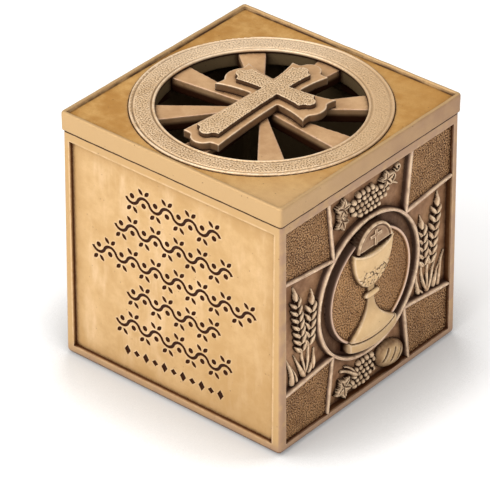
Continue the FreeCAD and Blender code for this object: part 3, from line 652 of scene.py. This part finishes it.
class Paint:
    """Builds one node material. Each method adds a node and returns its output socket."""

    def __init__(self, name):
        """Start a material with a plain principled surface."""
        self.material = bpy.data.materials.new(name)
        self.material.use_nodes = True
        self.tree = self.material.node_tree
        self.surface = self.tree.nodes["Principled BSDF"]
        self.place = self.tree.nodes.new("ShaderNodeTexCoord").outputs["Object"]

    def node(self, kind, inputs=(), output=0, **settings):
        """Any shader node, with its inputs linked to sockets or set to plain values."""
        node = self.tree.nodes.new("ShaderNode" + kind)
        for key, value in settings.items():
            setattr(node, key, value)
        for key, value in dict(inputs).items():
            if isinstance(value, bpy.types.NodeSocket):
                self.tree.links.new(value, node.inputs[key])
            else:
                node.inputs[key].default_value = value
        return node.outputs[output]

    def noise(self, size, detail=2.0, roughness=0.5, stretch=(1, 1, 1)):
        """Soft noise with lumps about size millimetres across."""
        place = self.node("Mapping", {"Vector": self.place, "Scale": stretch})
        inputs = {"Vector": place, "Scale": 1 / (size * MM), "Detail": detail, "Roughness": roughness}
        return self.node("TexNoise", inputs)

    def cells(self, size):
        """The distance to the nearest of points about size millimetres apart."""
        return self.node("TexVoronoi", {"Vector": self.place, "Scale": 1 / (size * MM)}, "Distance")

    def span(self, value, low, high, to_low=0.0, to_high=1.0):
        """Read low to high as to_low to to_high, smoothly."""
        inputs = {"Value": value, "From Min": low, "From Max": high, "To Min": to_low, "To Max": to_high}
        return self.node("MapRange", inputs, interpolation_type="SMOOTHSTEP")

    def patches(self, size, low, high, least, most):
        """Soft patches about size millimetres across."""
        return self.span(self.noise(size, 3.0), low, high, least, most)

    def wander(self, size, roughness, amount):
        """A small, uneven shift about zero."""
        return self.times(self.minus(self.noise(size, 4.0, roughness), 0.5), amount)

    def math(self, operation, first, second=0.0):
        """A math node on two values."""
        return self.node("Math", {0: first, 1: second}, operation=operation)

    def plus(self, first, second):
        """The sum of two values."""
        return self.math("ADD", first, second)

    def minus(self, first, second):
        """The difference of two values."""
        return self.math("SUBTRACT", first, second)

    def times(self, first, second):
        """The product of two values."""
        return self.math("MULTIPLY", first, second)

    def larger(self, first, second):
        """The larger of two values."""
        return self.math("MAXIMUM", first, second)

    def mix(self, share, first, second):
        """The first colour, with a share of the second over it."""
        return self.node("Mix", {0: share, 6: first, 7: second}, 2, data_type="RGBA")

    def hidden(self, reach):
        """How open the surface is within reach millimetres: 0 in a crevice, 1 in the open."""
        return self.node("AmbientOcclusion", {"Distance": reach * MM}, "AO", samples=8)

    def thin(self, reach):
        """1 inside a solid face, less at an outer edge."""
        return self.node("AmbientOcclusion", {"Distance": reach * MM}, "AO", samples=6, inside=True)

    def axis(self, name):
        """The place along one of the object's own axes, in metres."""
        return self.node("SeparateXYZ", {0: self.place}, name)

    def off_centre(self, name):
        """How far a place is from the middle along one axis, in metres."""
        return self.math("ABSOLUTE", self.axis(name))

    def facing(self, name):
        """One part of the surface's direction, in the object's own axes."""
        direction = self.node("TexCoord", output="Normal")
        return self.node("SeparateXYZ", {0: direction}, name)

    def distance(self, axes, centre):
        """The distance from a centre, counted only along the axes given as 1."""
        flat = self.node("VectorMath", {0: self.place, 1: axes}, operation="MULTIPLY")
        return self.node("VectorMath", {0: flat, 1: centre}, "Value", operation="DISTANCE")

    def bump(self, height, depth, before=None):
        """A bump, depth millimetres deep, over an earlier one if given."""
        inputs = {"Height": height, "Distance": depth * MM, "Strength": 1.0}
        if before is not None:
            inputs["Normal"] = before
        return self.node("Bump", inputs)

    def finish(self, colour, roughness, normal, metallic):
        """Link the surface's colour, roughness and bump."""
        links = self.tree.links
        self.surface.inputs["Specular IOR Level"].default_value = GLOSS
        links.new(colour, self.surface.inputs["Base Color"])
        links.new(roughness, self.surface.inputs["Roughness"])
        links.new(normal, self.surface.inputs["Normal"])
        self.surface.inputs["Metallic"].default_value = metallic
        return self.material


def gilt(name, light, deep, edge, wash=(0.45, 0.95), reach=2.2, crest=None, edges=0.6, grit=0.05,
         shade=None, dark=DARK_WASH, hollows=0.75, speckle=0.22):
    """Antique gilt: two tones of gold, dark wash in the crevices, and worn pale edges.

    wash is how open a place must be, within reach millimetres, to be free of the wash.
    crest is given for dense meshes: the pointiness at which the high spots are rubbed pale.
    """
    paint = Paint(name)
    broad = paint.noise(14, 4.0, 0.6)
    cloud = paint.noise(3.2, 3.0, 0.6)
    tone = paint.plus(paint.times(broad, 0.65), paint.times(cloud, 0.35))
    colour = paint.mix(paint.span(tone, 0.36, 0.66), deep, light)
    fine = paint.noise(0.55, 3.0, 0.65)
    colour = paint.mix(paint.span(fine, 0.41, 0.61, 0.0, speckle), colour, deep)
    if crest:
        point = paint.node("NewGeometry", output="Pointiness")
        colour = paint.mix(paint.span(point, 0.5 - crest, 0.5, hollows, 0.0), colour, dark)
        worn = paint.span(point, 0.5, 0.5 + crest)
    else:
        worn = paint.span(paint.thin(0.8), 0.98, 0.72)
    worn = paint.times(paint.times(worn, paint.patches(2.2, 0.34, 0.58, 0.35, 1.0)), edges)
    colour = paint.mix(worn, colour, edge)
    if shade:
        colour = shade(paint, colour)
    open_sky = paint.plus(paint.hidden(reach), paint.wander(1.4, 0.65, 0.3))
    clean = paint.span(open_sky, wash[0], wash[1])
    colour = paint.mix(clean, dark, colour)
    pits = paint.span(paint.cells(2.9), 0.035, 0.085, 1.0, 0.0)
    colour = paint.mix(paint.times(pits, 0.5), colour, dark)
    polish = paint.times(clean, paint.span(fine, 0.2, 0.8, 1.0, 0.8))
    roughness = paint.span(polish, 0.0, 1.0, WASHED_ROUGHNESS, CLEAN_ROUGHNESS)
    lumps = paint.bump(paint.noise(3.0, 3.0), 0.10)
    pitted = paint.bump(pits, -0.12, paint.bump(fine, grit, lumps))
    return paint.finish(colour, roughness, pitted, METALLIC)


# ---- shades laid over the gilt

def uneven_height(paint):
    """A place's height with a small wander, for an uneven line."""
    return paint.plus(paint.axis("Z"), paint.wander(5.0, 0.7, 0.5 * MM))


def shade_inside(paint, colour):
    """Paint the cavity almost black as painted shade inside the box, and a painted shadow along the seam
    under the lid.
    """
    in_x = paint.math("LESS_THAN", paint.off_centre("X"), INSIDE_WALL)
    in_y = paint.math("LESS_THAN", paint.off_centre("Y"), INSIDE_WALL)
    above = paint.math("GREATER_THAN", paint.axis("Z"), INSIDE_FLOOR)
    inside = paint.times(paint.times(in_x, in_y), above)
    outermost = paint.larger(paint.off_centre("X"), paint.off_centre("Y"))
    # a painted shadow along the seam under the lid's edge
    seam = paint.span(uneven_height(paint), RIM_UP - 0.75 * MM, RIM_UP - 0.3 * MM)
    seam = paint.times(seam, paint.span(outermost, FOOT_HALF - 1.1 * MM, FOOT_HALF - 0.9 * MM))
    return paint.mix(seam, paint.mix(inside, colour, INSIDE_SHADE), SEAM_SHADOW)


def face_level(paint, across):
    """How far a place stands out of its leaning side face, in metres."""
    risen = paint.times(paint.axis("Z"), math.tan(LEAN))
    return paint.plus(paint.plus(paint.off_centre(across), risen), -FOOT_HALF)


def shell_paint(paint, colour):
    """Rosier relief sides and foot, wash and painted shade on the frames' walls, and painted shade in the
    cavity.
    """
    side_level = face_level(paint, "X")
    relief_side = paint.span(side_level, -0.9 * MM, -0.3 * MM)
    relief_side = paint.times(relief_side, paint.patches(4.0, 0.3, 0.6, 0.45, 0.85))
    colour = paint.mix(relief_side, colour, ROSE_BROWN)
    level = paint.larger(side_level, face_level(paint, "Y"))
    # wash and painted shade down the frames' inner walls
    frame_wall_wash_and_shade = paint.span(level, -0.85 * MM, -0.3 * MM, 0.85, 0.0)
    below_rim = paint.math("LESS_THAN", paint.axis("Z"), RIM_UP - 1.5 * MM)
    above_foot = paint.math("GREATER_THAN", paint.axis("Z"), 2 * MM)
    frame_wall_wash_and_shade = paint.times(frame_wall_wash_and_shade, paint.times(below_rim, above_foot))
    foot = paint.span(paint.axis("Z"), 0.6 * MM, 6.0 * MM, 0.95, 0.0)
    foot = paint.times(foot, paint.patches(5.0, 0.3, 0.65, 0.6, 1.0))
    colour = paint.mix(foot, colour, ROSE_BROWN)
    return shade_inside(paint, paint.mix(frame_wall_wash_and_shade, colour, WARM_WASH))


def shaded_round(paint, colour):
    """Wash and painted shade left low on a smooth relief, so that it reads as round, and darker towards
    the bottom.
    """
    # painted shade where a relief falls back to its ground
    height = paint.span(face_level(paint, "X"), -0.5 * MM, 1.3 * MM, 0.9, 0.0)
    ragged_shade = paint.times(height, paint.patches(2.5, 0.3, 0.65, 0.75, 1.0))
    foot = paint.span(paint.axis("Z"), MEDALLION_UP - 21 * MM, MEDALLION_UP - 11 * MM, 0.34, 0.0)
    return paint.mix(paint.larger(ragged_shade, foot), colour, SHADE_UMBER)


def rib_sides(paint, colour):
    """The wash left on a rib's flanks, below its rubbed crown."""
    flank = paint.span(face_level(paint, "X"), -1.4 * MM, -0.3 * MM, 0.9, 0.0)
    return paint.mix(flank, colour, DARK_WASH)


def dark_wall(paint, colour):
    """The wash left up the whole wall of an upstanding disc."""
    wall = paint.span(face_level(paint, "X"), 0.9 * MM, 1.5 * MM, 0.92, 0.0)
    return paint.mix(wall, colour, DARK_WASH)


def from_medallion(paint):
    """The distance from the medallion's middle, in metres."""
    return paint.distance((0, 1, 1), (0, 0, MEDALLION_UP))


def shade_between_rings(paint, colour):
    """Paint shade on the ground between the medallion's two rings."""
    channel_shade = paint.span(from_medallion(paint), OUTER_RING * MM, (OUTER_RING + 0.6) * MM, 0.6, 0.0)
    return paint.mix(channel_shade, colour, DARK_WASH)


def bead_and_field(paint, colour):
    """Rub the medallion's bead pale, and paint shade on its outer wall and over the back of its field."""
    reach = from_medallion(paint)
    bead = paint.span(reach, (INNER_RING - 0.65) * MM, (INNER_RING - 0.35) * MM)
    # painted shade on the wall just outside the bead
    outside = paint.span(reach, (INNER_RING + 0.05) * MM, (INNER_RING + 0.35) * MM, 0.0, 0.9)
    # painted shade over the back of the field
    back_of_field_shade = paint.span(paint.axis("Y"), 0.0, INNER_RING * MM, 0.0, 0.45)
    colour = paint.mix(back_of_field_shade, colour, TILE_DEEP)
    colour = paint.mix(bead, colour, ROSE_EDGE)
    return paint.mix(outside, colour, DARK_WASH)


def painted_shade_down(bottom, top, most, walls):
    """Painted shade that darkens the foot and the walls of an upstanding piece."""
    def shade(paint, colour):
        """Paint shade by height and by slope."""
        height = paint.span(paint.axis("Z"), bottom, top, most, 0.0)
        upright = paint.span(paint.facing("Z"), 0.4, 0.8, walls, 0.0)
        return paint.mix(paint.larger(height, upright), colour, DARK_WASH)
    return shade


def lid_paint(paint, colour):
    """Amber corner fields, paler gold on the edges and towards the front right, brown on the relief side,
    and painted shade towards the back right.
    """
    furthest = paint.larger(paint.off_centre("X"), paint.off_centre("Y"))
    edge = paint.span(furthest, LID_HALF - 1.9 * MM, LID_HALF - 1.4 * MM)
    side = paint.span(paint.off_centre("X"), LID_HALF - 0.4 * MM, LID_HALF - 0.05 * MM)
    side = paint.times(side, paint.patches(9.0, 0.3, 0.7, 0.6, 1.0))
    side = paint.times(side, paint.span(paint.axis("Y"), -42 * MM, 40 * MM, 0.3, 1.0))
    front_right = paint.minus(paint.axis("X"), paint.axis("Y"))
    colour = paint.mix(paint.span(front_right, 45 * MM, 80 * MM, 0.0, 0.7), colour, GOLD_LIGHT)
    # painted shade towards the back right corner
    shaded_back_right = paint.plus(paint.axis("X"), paint.axis("Y"))
    colour = paint.mix(paint.span(shaded_back_right, 45 * MM, 75 * MM, 0.0, 0.6), colour, AMBER_DEEP)
    from_groove = paint.math("ABSOLUTE", paint.minus(furthest, LID_HALF - 1.7 * MM))
    groove = paint.span(from_groove, 0.12 * MM, 0.45 * MM, 0.9, 0.0)
    groove = paint.times(groove, paint.patches(9.0, 0.35, 0.6, 0.35, 1.0))
    colour = paint.mix(groove, paint.mix(edge, colour, GOLD_RIM), DARK_WASH)
    return shade_under_lid(paint, paint.mix(side, colour, LID_SIDE))


def from_lid_middle(paint):
    """The distance from the lid's upright middle line, in metres."""
    return paint.distance((1, 1, 0), (0, 0, 0))


def shade_under_lid(paint, colour):
    """Paint shade on the lid's underside, a painted shadow along its seam, and painted shade down the wall
    of its opening.
    """
    # painted shade under the lid and a painted shadow along its seam
    clear = paint.span(uneven_height(paint), RIM_UP + 0.05 * MM, RIM_UP + 0.45 * MM)
    colour = paint.mix(clear, DARK_WASH, colour)
    # painted shade down the wall of the round opening
    near_opening_shade = paint.span(from_lid_middle(paint), RING_INNER + 1.0 * MM, RING_INNER + 1.6 * MM, 1.0, 0.0)
    return paint.mix(near_opening_shade, colour, INSIDE_SHADE)


def ring_paint(paint, colour):
    """Paint shade on the ring towards the back right and a painted highlight towards the back left, and
    paint shade down the wall of its opening.
    """
    shaded_back_right = paint.plus(paint.axis("X"), paint.axis("Y"))
    # painted shade towards the back right
    colour = paint.mix(paint.span(shaded_back_right, 15 * MM, 55 * MM, 0.0, 0.8), colour, RING_DEEP)
    lit_back_left = paint.minus(paint.axis("Y"), paint.axis("X"))
    # painted highlight towards the back left
    colour = paint.mix(paint.span(lit_back_left, 15 * MM, 55 * MM, 0.0, 0.35), colour, CREAM)
    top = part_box("rosette_ring")[1].z
    near_opening_shade = paint.span(from_lid_middle(paint), RING_INNER + 0.2 * MM, RING_INNER + 0.6 * MM, 1.0, 0.0)
    deep = paint.span(paint.axis("Z"), top - 1.0 * MM, top - 0.35 * MM, 1.0, 0.0)
    # painted shade down the wall of the opening
    return paint.mix(paint.times(near_opening_shade, deep), colour, DARK_WASH)


def aged_and_shaded(paint, colour):
    """An old panel, browner along its edges with wash and painted shade, and with painted shade towards
    its lower right.
    """
    low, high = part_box("front_panel")
    sideways = paint.minus(paint.off_centre("X"), high.x)
    downward = paint.minus(low.z, paint.axis("Z"))
    upward = paint.minus(paint.axis("Z"), high.z)
    past_edge = paint.larger(sideways, paint.larger(downward, upward))
    wander = paint.wander(8.0, 0.6, 6 * MM)
    edge_wash_and_shade = paint.span(paint.plus(past_edge, wander), -6.5 * MM, 0.0, 0.0, 0.6)
    shaded_lower_right = paint.minus(paint.axis("X"), paint.axis("Z"))
    shaded_lower_right = paint.plus(shaded_lower_right, paint.times(wander, 3.0))
    corner = paint.span(shaded_lower_right, -40 * MM, 35 * MM, 0.0, 0.55)
    streaks = paint.span(paint.noise(5.0, 4.0, 0.6, (1, 1, 0.25)), 0.5, 0.75, 0.0, 0.5)
    colour = paint.mix(streaks, colour, GOLD_PALE)
    return paint.mix(paint.larger(edge_wash_and_shade, corner), colour, GOLD_SHADE)


def engraved(paint, colour):
    """An old panel with painted shade, and dark paint in its engraved scroll."""
    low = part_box("front_panel")[0]
    surface = -low.y + low.z * math.tan(LEAN) - FOOT_HALF
    depth = paint.span(face_level(paint, "Y"), surface - 0.3 * MM, surface - 0.12 * MM, 1.0, 0.0)
    return paint.mix(depth, aged_and_shaded(paint, colour), DARK_WASH)


# ---- the set of materials

def felt_material():
    """Dark brown felt: matted fibres with a soft sheen."""
    paint = Paint("felt")
    fibres = paint.noise(0.35, 6.0, 0.75, (1, 1.6, 1))
    colour = paint.mix(paint.span(fibres, 0.3, 0.7), FELT_DARK, FELT_LIGHT)
    matted = paint.bump(paint.noise(2.4, 3.0), 0.2, paint.bump(fibres, 0.12))
    roughness = paint.span(fibres, 0.2, 0.8, 0.9, 1.0)
    paint.surface.inputs["Sheen Weight"].default_value = 0.35
    paint.surface.inputs["Sheen Roughness"].default_value = 0.6
    return paint.finish(colour, roughness, matted, 0.0)


def make_materials():
    """One material for each kind of surface."""
    rays_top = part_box("sunburst_grille")[1].z
    cross_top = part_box("lower_cross")[1].z
    upper_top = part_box("upper_cross")[1].z
    # painted shade down the flanks of the rays and of both crosses
    ray_flank_shade = painted_shade_down(rays_top - 2.8 * MM, rays_top - 0.1 * MM, 1.0, 0.45)
    lower_flank_shade = painted_shade_down(rays_top - 0.2 * MM, cross_top - 0.4 * MM, 0.95, 0.72)
    upper_flank_shade = painted_shade_down(cross_top - 0.2 * MM, upper_top - 0.4 * MM, 0.95, 0.92)
    return {
        "shell": gilt("gilt_shell", GOLD_RIM, GOLD_DEEP, GOLD_PALE, shade=shell_paint, dark=WARM_WASH),
        "front": gilt("gilt_front", GOLD_LIGHT, GOLD_DEEP, GOLD_PALE, (0.42, 0.9), grit=0.03,
                      shade=engraved, dark=WARM_WASH),
        "back": gilt("gilt_back", GOLD_LIGHT, GOLD_DEEP, GOLD_PALE, (0.42, 0.9), grit=0.03,
                     shade=aged_and_shaded, dark=WARM_WASH),
        "felt": felt_material(),
        "lid": gilt("gilt_lid", AMBER, AMBER_DEEP, GOLD_PALE, (0.45, 0.98), crest=0.05, shade=lid_paint),
        "ring": gilt("gilt_ring", RING_GOLD, RING_DEEP, CREAM, (0.35, 0.9), 1.0, crest=0.035, edges=0.7,
                     shade=ring_paint, hollows=0.65, speckle=0.5),
        "rays": gilt("gilt_rays", RAY_GOLD, RAY_DEEP, ROSE_EDGE, (0.4, 0.98), 2.4, crest=0.05,
                     shade=ray_flank_shade),
        "lower_cross": gilt("gilt_lower_cross", RAY_GOLD, RAY_DEEP, CREAM, (0.35, 0.9), 1.6, crest=0.04,
                            shade=lower_flank_shade),
        "upper_cross": gilt("gilt_upper_cross", RING_GOLD, RING_DEEP, CREAM, (0.35, 0.9), 1.0,
                            crest=0.035, shade=upper_flank_shade, hollows=0.65, speckle=0.5),
        "ground": gilt("wash_ground", BROWN, BROWN_DEEP, GOLD_DEEP, reach=3.0, edges=0.1,
                       shade=shade_between_rings),
        "tile": gilt("grained_tile", TILE_LIGHT, TILE_DEEP, TILE_CREST, reach=1.8, crest=0.03, edges=1.0,
                     hollows=0.8, speckle=0.9),
        "medal": gilt("medallion_field", MEDAL_LIGHT, TILE_MID, TILE_CREST, (0.4, 0.9), 1.8, crest=0.03,
                      edges=1.0, shade=bead_and_field, hollows=0.8, speckle=0.9),
        "ribs": gilt("rubbed_ribs", ROSE_EDGE, ROSE_BROWN, ROSE_CREAM, (0.4, 0.85), 1.6, crest=0.04,
                     edges=1.0, shade=rib_sides),
        "host": gilt("gilt_host", VINE_GOLD, VINE_DEEP, ROSE_CREAM, (0.4, 0.95), 1.5, crest=0.03,
                     edges=0.9, shade=dark_wall),
        "wheat": gilt("rubbed_carving", ROSE_GOLD, BROWN, ROSE_CREAM, (0.5, 1.0), 1.5, crest=0.03,
                      edges=0.9),
        "vine": gilt("rubbed_vine", VINE_GOLD, VINE_DEEP, ROSE_CREAM, (0.5, 1.0), 1.5, crest=0.03,
                     edges=0.8),
        "cup": gilt("gilt_cup", CUP_GOLD, GOLD_LIGHT, CREAM, (0.5, 1.0), 2.4, crest=0.04,
                    shade=shaded_round),
    }


def wear(piece, material):
    """Give a piece one material."""
    piece.data.materials.clear()
    piece.data.materials.append(material)


# ---- assemble the object

RELIEF = {
    # name: (heights, area in mm, step in mm, material, record slot)
    "rib_lattice": (lattice_heights, (-41.6, 41.6, -39.4, 39.8), 0.125, "ribs", "relief_edges"),
    "corner_tiles": (tile_heights, (-41.6, 41.6, -39.4, 39.8), 0.19, "tile", "grained_tile"),
    "medallion": (medallion_heights, (-20.6, 20.6, -20.6, 20.6), 0.17, "medal", "grained_tile"),
    "chalice": (chalice_heights, (-12.6, 12.6, -22.9, 17.0), 0.15, "cup", "smooth_relief"),
    "host": (host_heights, (-8.9, 8.9, 15.2, 23.6), 0.14, "host", "smooth_relief"),
    "wheat_back": (wheat_heights, (23.9, 40.4, -18.9, 20.4), 0.15, "wheat", "relief_edges"),
    "wheat_front": (wheat_heights, (-40.4, -23.9, -18.9, 20.4), 0.15, "wheat", "relief_edges"),
    "vine_top": (vine_top_heights, (-17.4, 16.8, 24.6, 38.2), 0.15, "vine", "relief_edges"),
    "vine_bottom": (vine_bottom_heights, (-16.4, 4.2, -37.9, -25.2), 0.15, "vine", "relief_edges"),
    "loaf": (loaf_heights, (3.6, 19.2, -37.6, -26.2), 0.16, "cup", "smooth_relief"),
}

LID_CASTINGS = {
    # node: (voxel in mm, smoothing steps, surface, material, record slot)
    "lid_frame": (0.38, 2, soft_cast, "lid", "gilt_smooth"),
    "rosette_ring": (0.19, 1, ring_grain, "ring", "gilt_stippled"),
    "sunburst_grille": (0.3, 2, soft_cast, "rays", "gilt_smooth"),
    "lower_cross": (0.24, 2, soft_cast, "lower_cross", "gilt_smooth"),
    "upper_cross": (0.18, 1, cross_grain, "upper_cross", "gilt_stippled"),
}


BOX_NODES = {
    # node: (width of its rounded edges in mm, material)
    "box_shell": (0.35, "shell"),
    "front_panel": (0.1, "front"),
    "back_panel": (0.1, "back"),
    "right_relief_panel": (0.1, "ground"),
    "left_relief_panel": (0.1, "ground"),
}

materials = make_materials()


def carve_relief_faces():
    """Carve every ornament once for each relief side."""
    for side in ("right", "left"):
        for name, (heights, area, step, material, slot) in RELIEF.items():
            mirrored = name == "wheat_front"
            piece = carve(f"{side}_{name}_carved", side, "box", heights, area, step, mirrored)
            wear(piece, materials[material])
            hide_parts(f"{side}_{name}")


def cast_lid():
    """The lid's five castings, softened or stippled."""
    for node, (voxel, smooth_steps, surface, material, slot) in LID_CASTINGS.items():
        piece = recast(node, "lid", voxel, smooth_steps, surface)
        wear(piece, materials[material])


def soften_edges(piece, width):
    """Join a CAD piece's faces and round its hard edges a little."""
    weld = piece.modifiers.new("weld", "WELD")
    weld.merge_threshold = 0.002 * MM
    bevel = piece.modifiers.new("bevel", "BEVEL")
    bevel.width = width * MM
    bevel.segments = 3
    bevel.limit_method = "ANGLE"
    bevel.angle_limit = math.radians(35)
    bevel.harden_normals = True


def dress_box():
    """The box's CAD pieces with rounded edges, and its felt."""
    for node, (width, material) in BOX_NODES.items():
        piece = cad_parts[node]
        soften_edges(piece, width)
        wear(piece, materials[material])
    wear(felt_pad(), materials["felt"])


# ---- camera, light and floor

CAMERA_AZIMUTH = 40.0
CAMERA_ELEVATION = 33.29
CAMERA_DISTANCE = 1.178
AIM_HEIGHT = 0.045
AIM_RIGHT = -0.005153
AIM_UP = -0.006913
LENS = 273.9
SENSOR = 36.0
LAMPS = {
    # name: (azimuth, elevation, distance in m, size in m, power in W, colour)
    "key": (-14, 38, 0.9, 0.8, 6.4, (1.0, 0.98, 0.95)),
    "fill": (84, 24, 1.0, 0.8, 3.0, (1.0, 0.98, 0.98)),
    "top": (0, 80, 0.9, 0.7, 2.4, (1.0, 0.99, 0.98)),
}
SKY_STRENGTH = 0.45
FLOOR_REACH = 3.0
FLOOR_GLOW = 0.36


def towards(azimuth, elevation):
    """The unit vector towards an azimuth and elevation, in degrees from the front."""
    azimuth, elevation = math.radians(azimuth), math.radians(elevation)
    level = math.cos(elevation)
    return Vector((math.sin(azimuth) * level, -math.cos(azimuth) * level, math.sin(elevation)))


def set_up(name, data, place, back):
    """A new camera or lamp at a place, looking the opposite way to back."""
    thing = bpy.data.objects.new(name, data)
    thing.location = place
    thing.rotation_euler = back.to_track_quat("Z", "Y").to_euler()
    bpy.context.scene.collection.objects.link(thing)
    return thing


def add_camera():
    """A long lens from the front right, a third of the way up."""
    back = towards(CAMERA_AZIMUTH, CAMERA_ELEVATION)
    right = towards(CAMERA_AZIMUTH + 90, 0)
    up = back.cross(right)
    data = bpy.data.cameras.new("camera")
    data.lens = LENS
    data.sensor_width = SENSOR
    aim = Vector((0, 0, AIM_HEIGHT)) + right * AIM_RIGHT + up * AIM_UP
    bpy.context.scene.camera = set_up("camera", data, aim + back * CAMERA_DISTANCE, back)


def add_light():
    """Soft daylight from the front left and above, and a weak fill."""
    for name, (azimuth, elevation, distance, size, power, colour) in LAMPS.items():
        away = towards(azimuth, elevation)
        data = bpy.data.lights.new(name, "AREA")
        data.energy = power
        data.size = size
        data.color = colour
        set_up(name, data, Vector((0, 0, AIM_HEIGHT)) + away * distance, away)
    world = bpy.data.worlds.new("studio")
    world.use_nodes = True
    sky = world.node_tree.nodes["Background"]
    sky.inputs["Color"].default_value = WHITE
    sky.inputs["Strength"].default_value = SKY_STRENGTH
    bpy.context.scene.world = world
    bpy.context.scene.view_settings.view_transform = "Standard"


def floor_material():
    """White paper with a soft glow and a contact shadow round the box."""
    paint = Paint("floor")
    shade = paint.noise(400, 1.0)
    colour = paint.mix(paint.span(shade, 0.3, 0.7), PAGE_DEEP, PAGE_LIGHT)
    contact = paint.span(paint.hidden(45), 0.65, 0.95, 0.54, 0.0)
    colour = paint.mix(contact, colour, PAGE_SHADOW)
    glow = paint.mix(contact, WHITE, BLACK)
    paint.tree.links.new(glow, paint.surface.inputs["Emission Color"])
    paint.surface.inputs["Emission Strength"].default_value = FLOOR_GLOW
    return paint.finish(colour, paint.span(shade, 0.3, 0.7, 0.75, 0.8), paint.bump(shade, 0.01), 0.0)


def add_floor():
    """A plain pale sweep under the box."""
    mesh = bpy.data.meshes.new("floor")
    corners = [Vector(corner) * FLOOR_REACH for corner in ((-1, -1, 0), (1, -1, 0), (1, 1, 0), (-1, 1, 0))]
    mesh.from_pydata(corners, [], [(0, 1, 2, 3)])
    floor = bpy.data.objects.new("floor", mesh)
    bpy.context.scene.collection.objects.link(floor)
    wear(floor, floor_material())


carve_relief_faces()
cast_lid()
dress_box()
add_camera()
add_light()
add_floor()
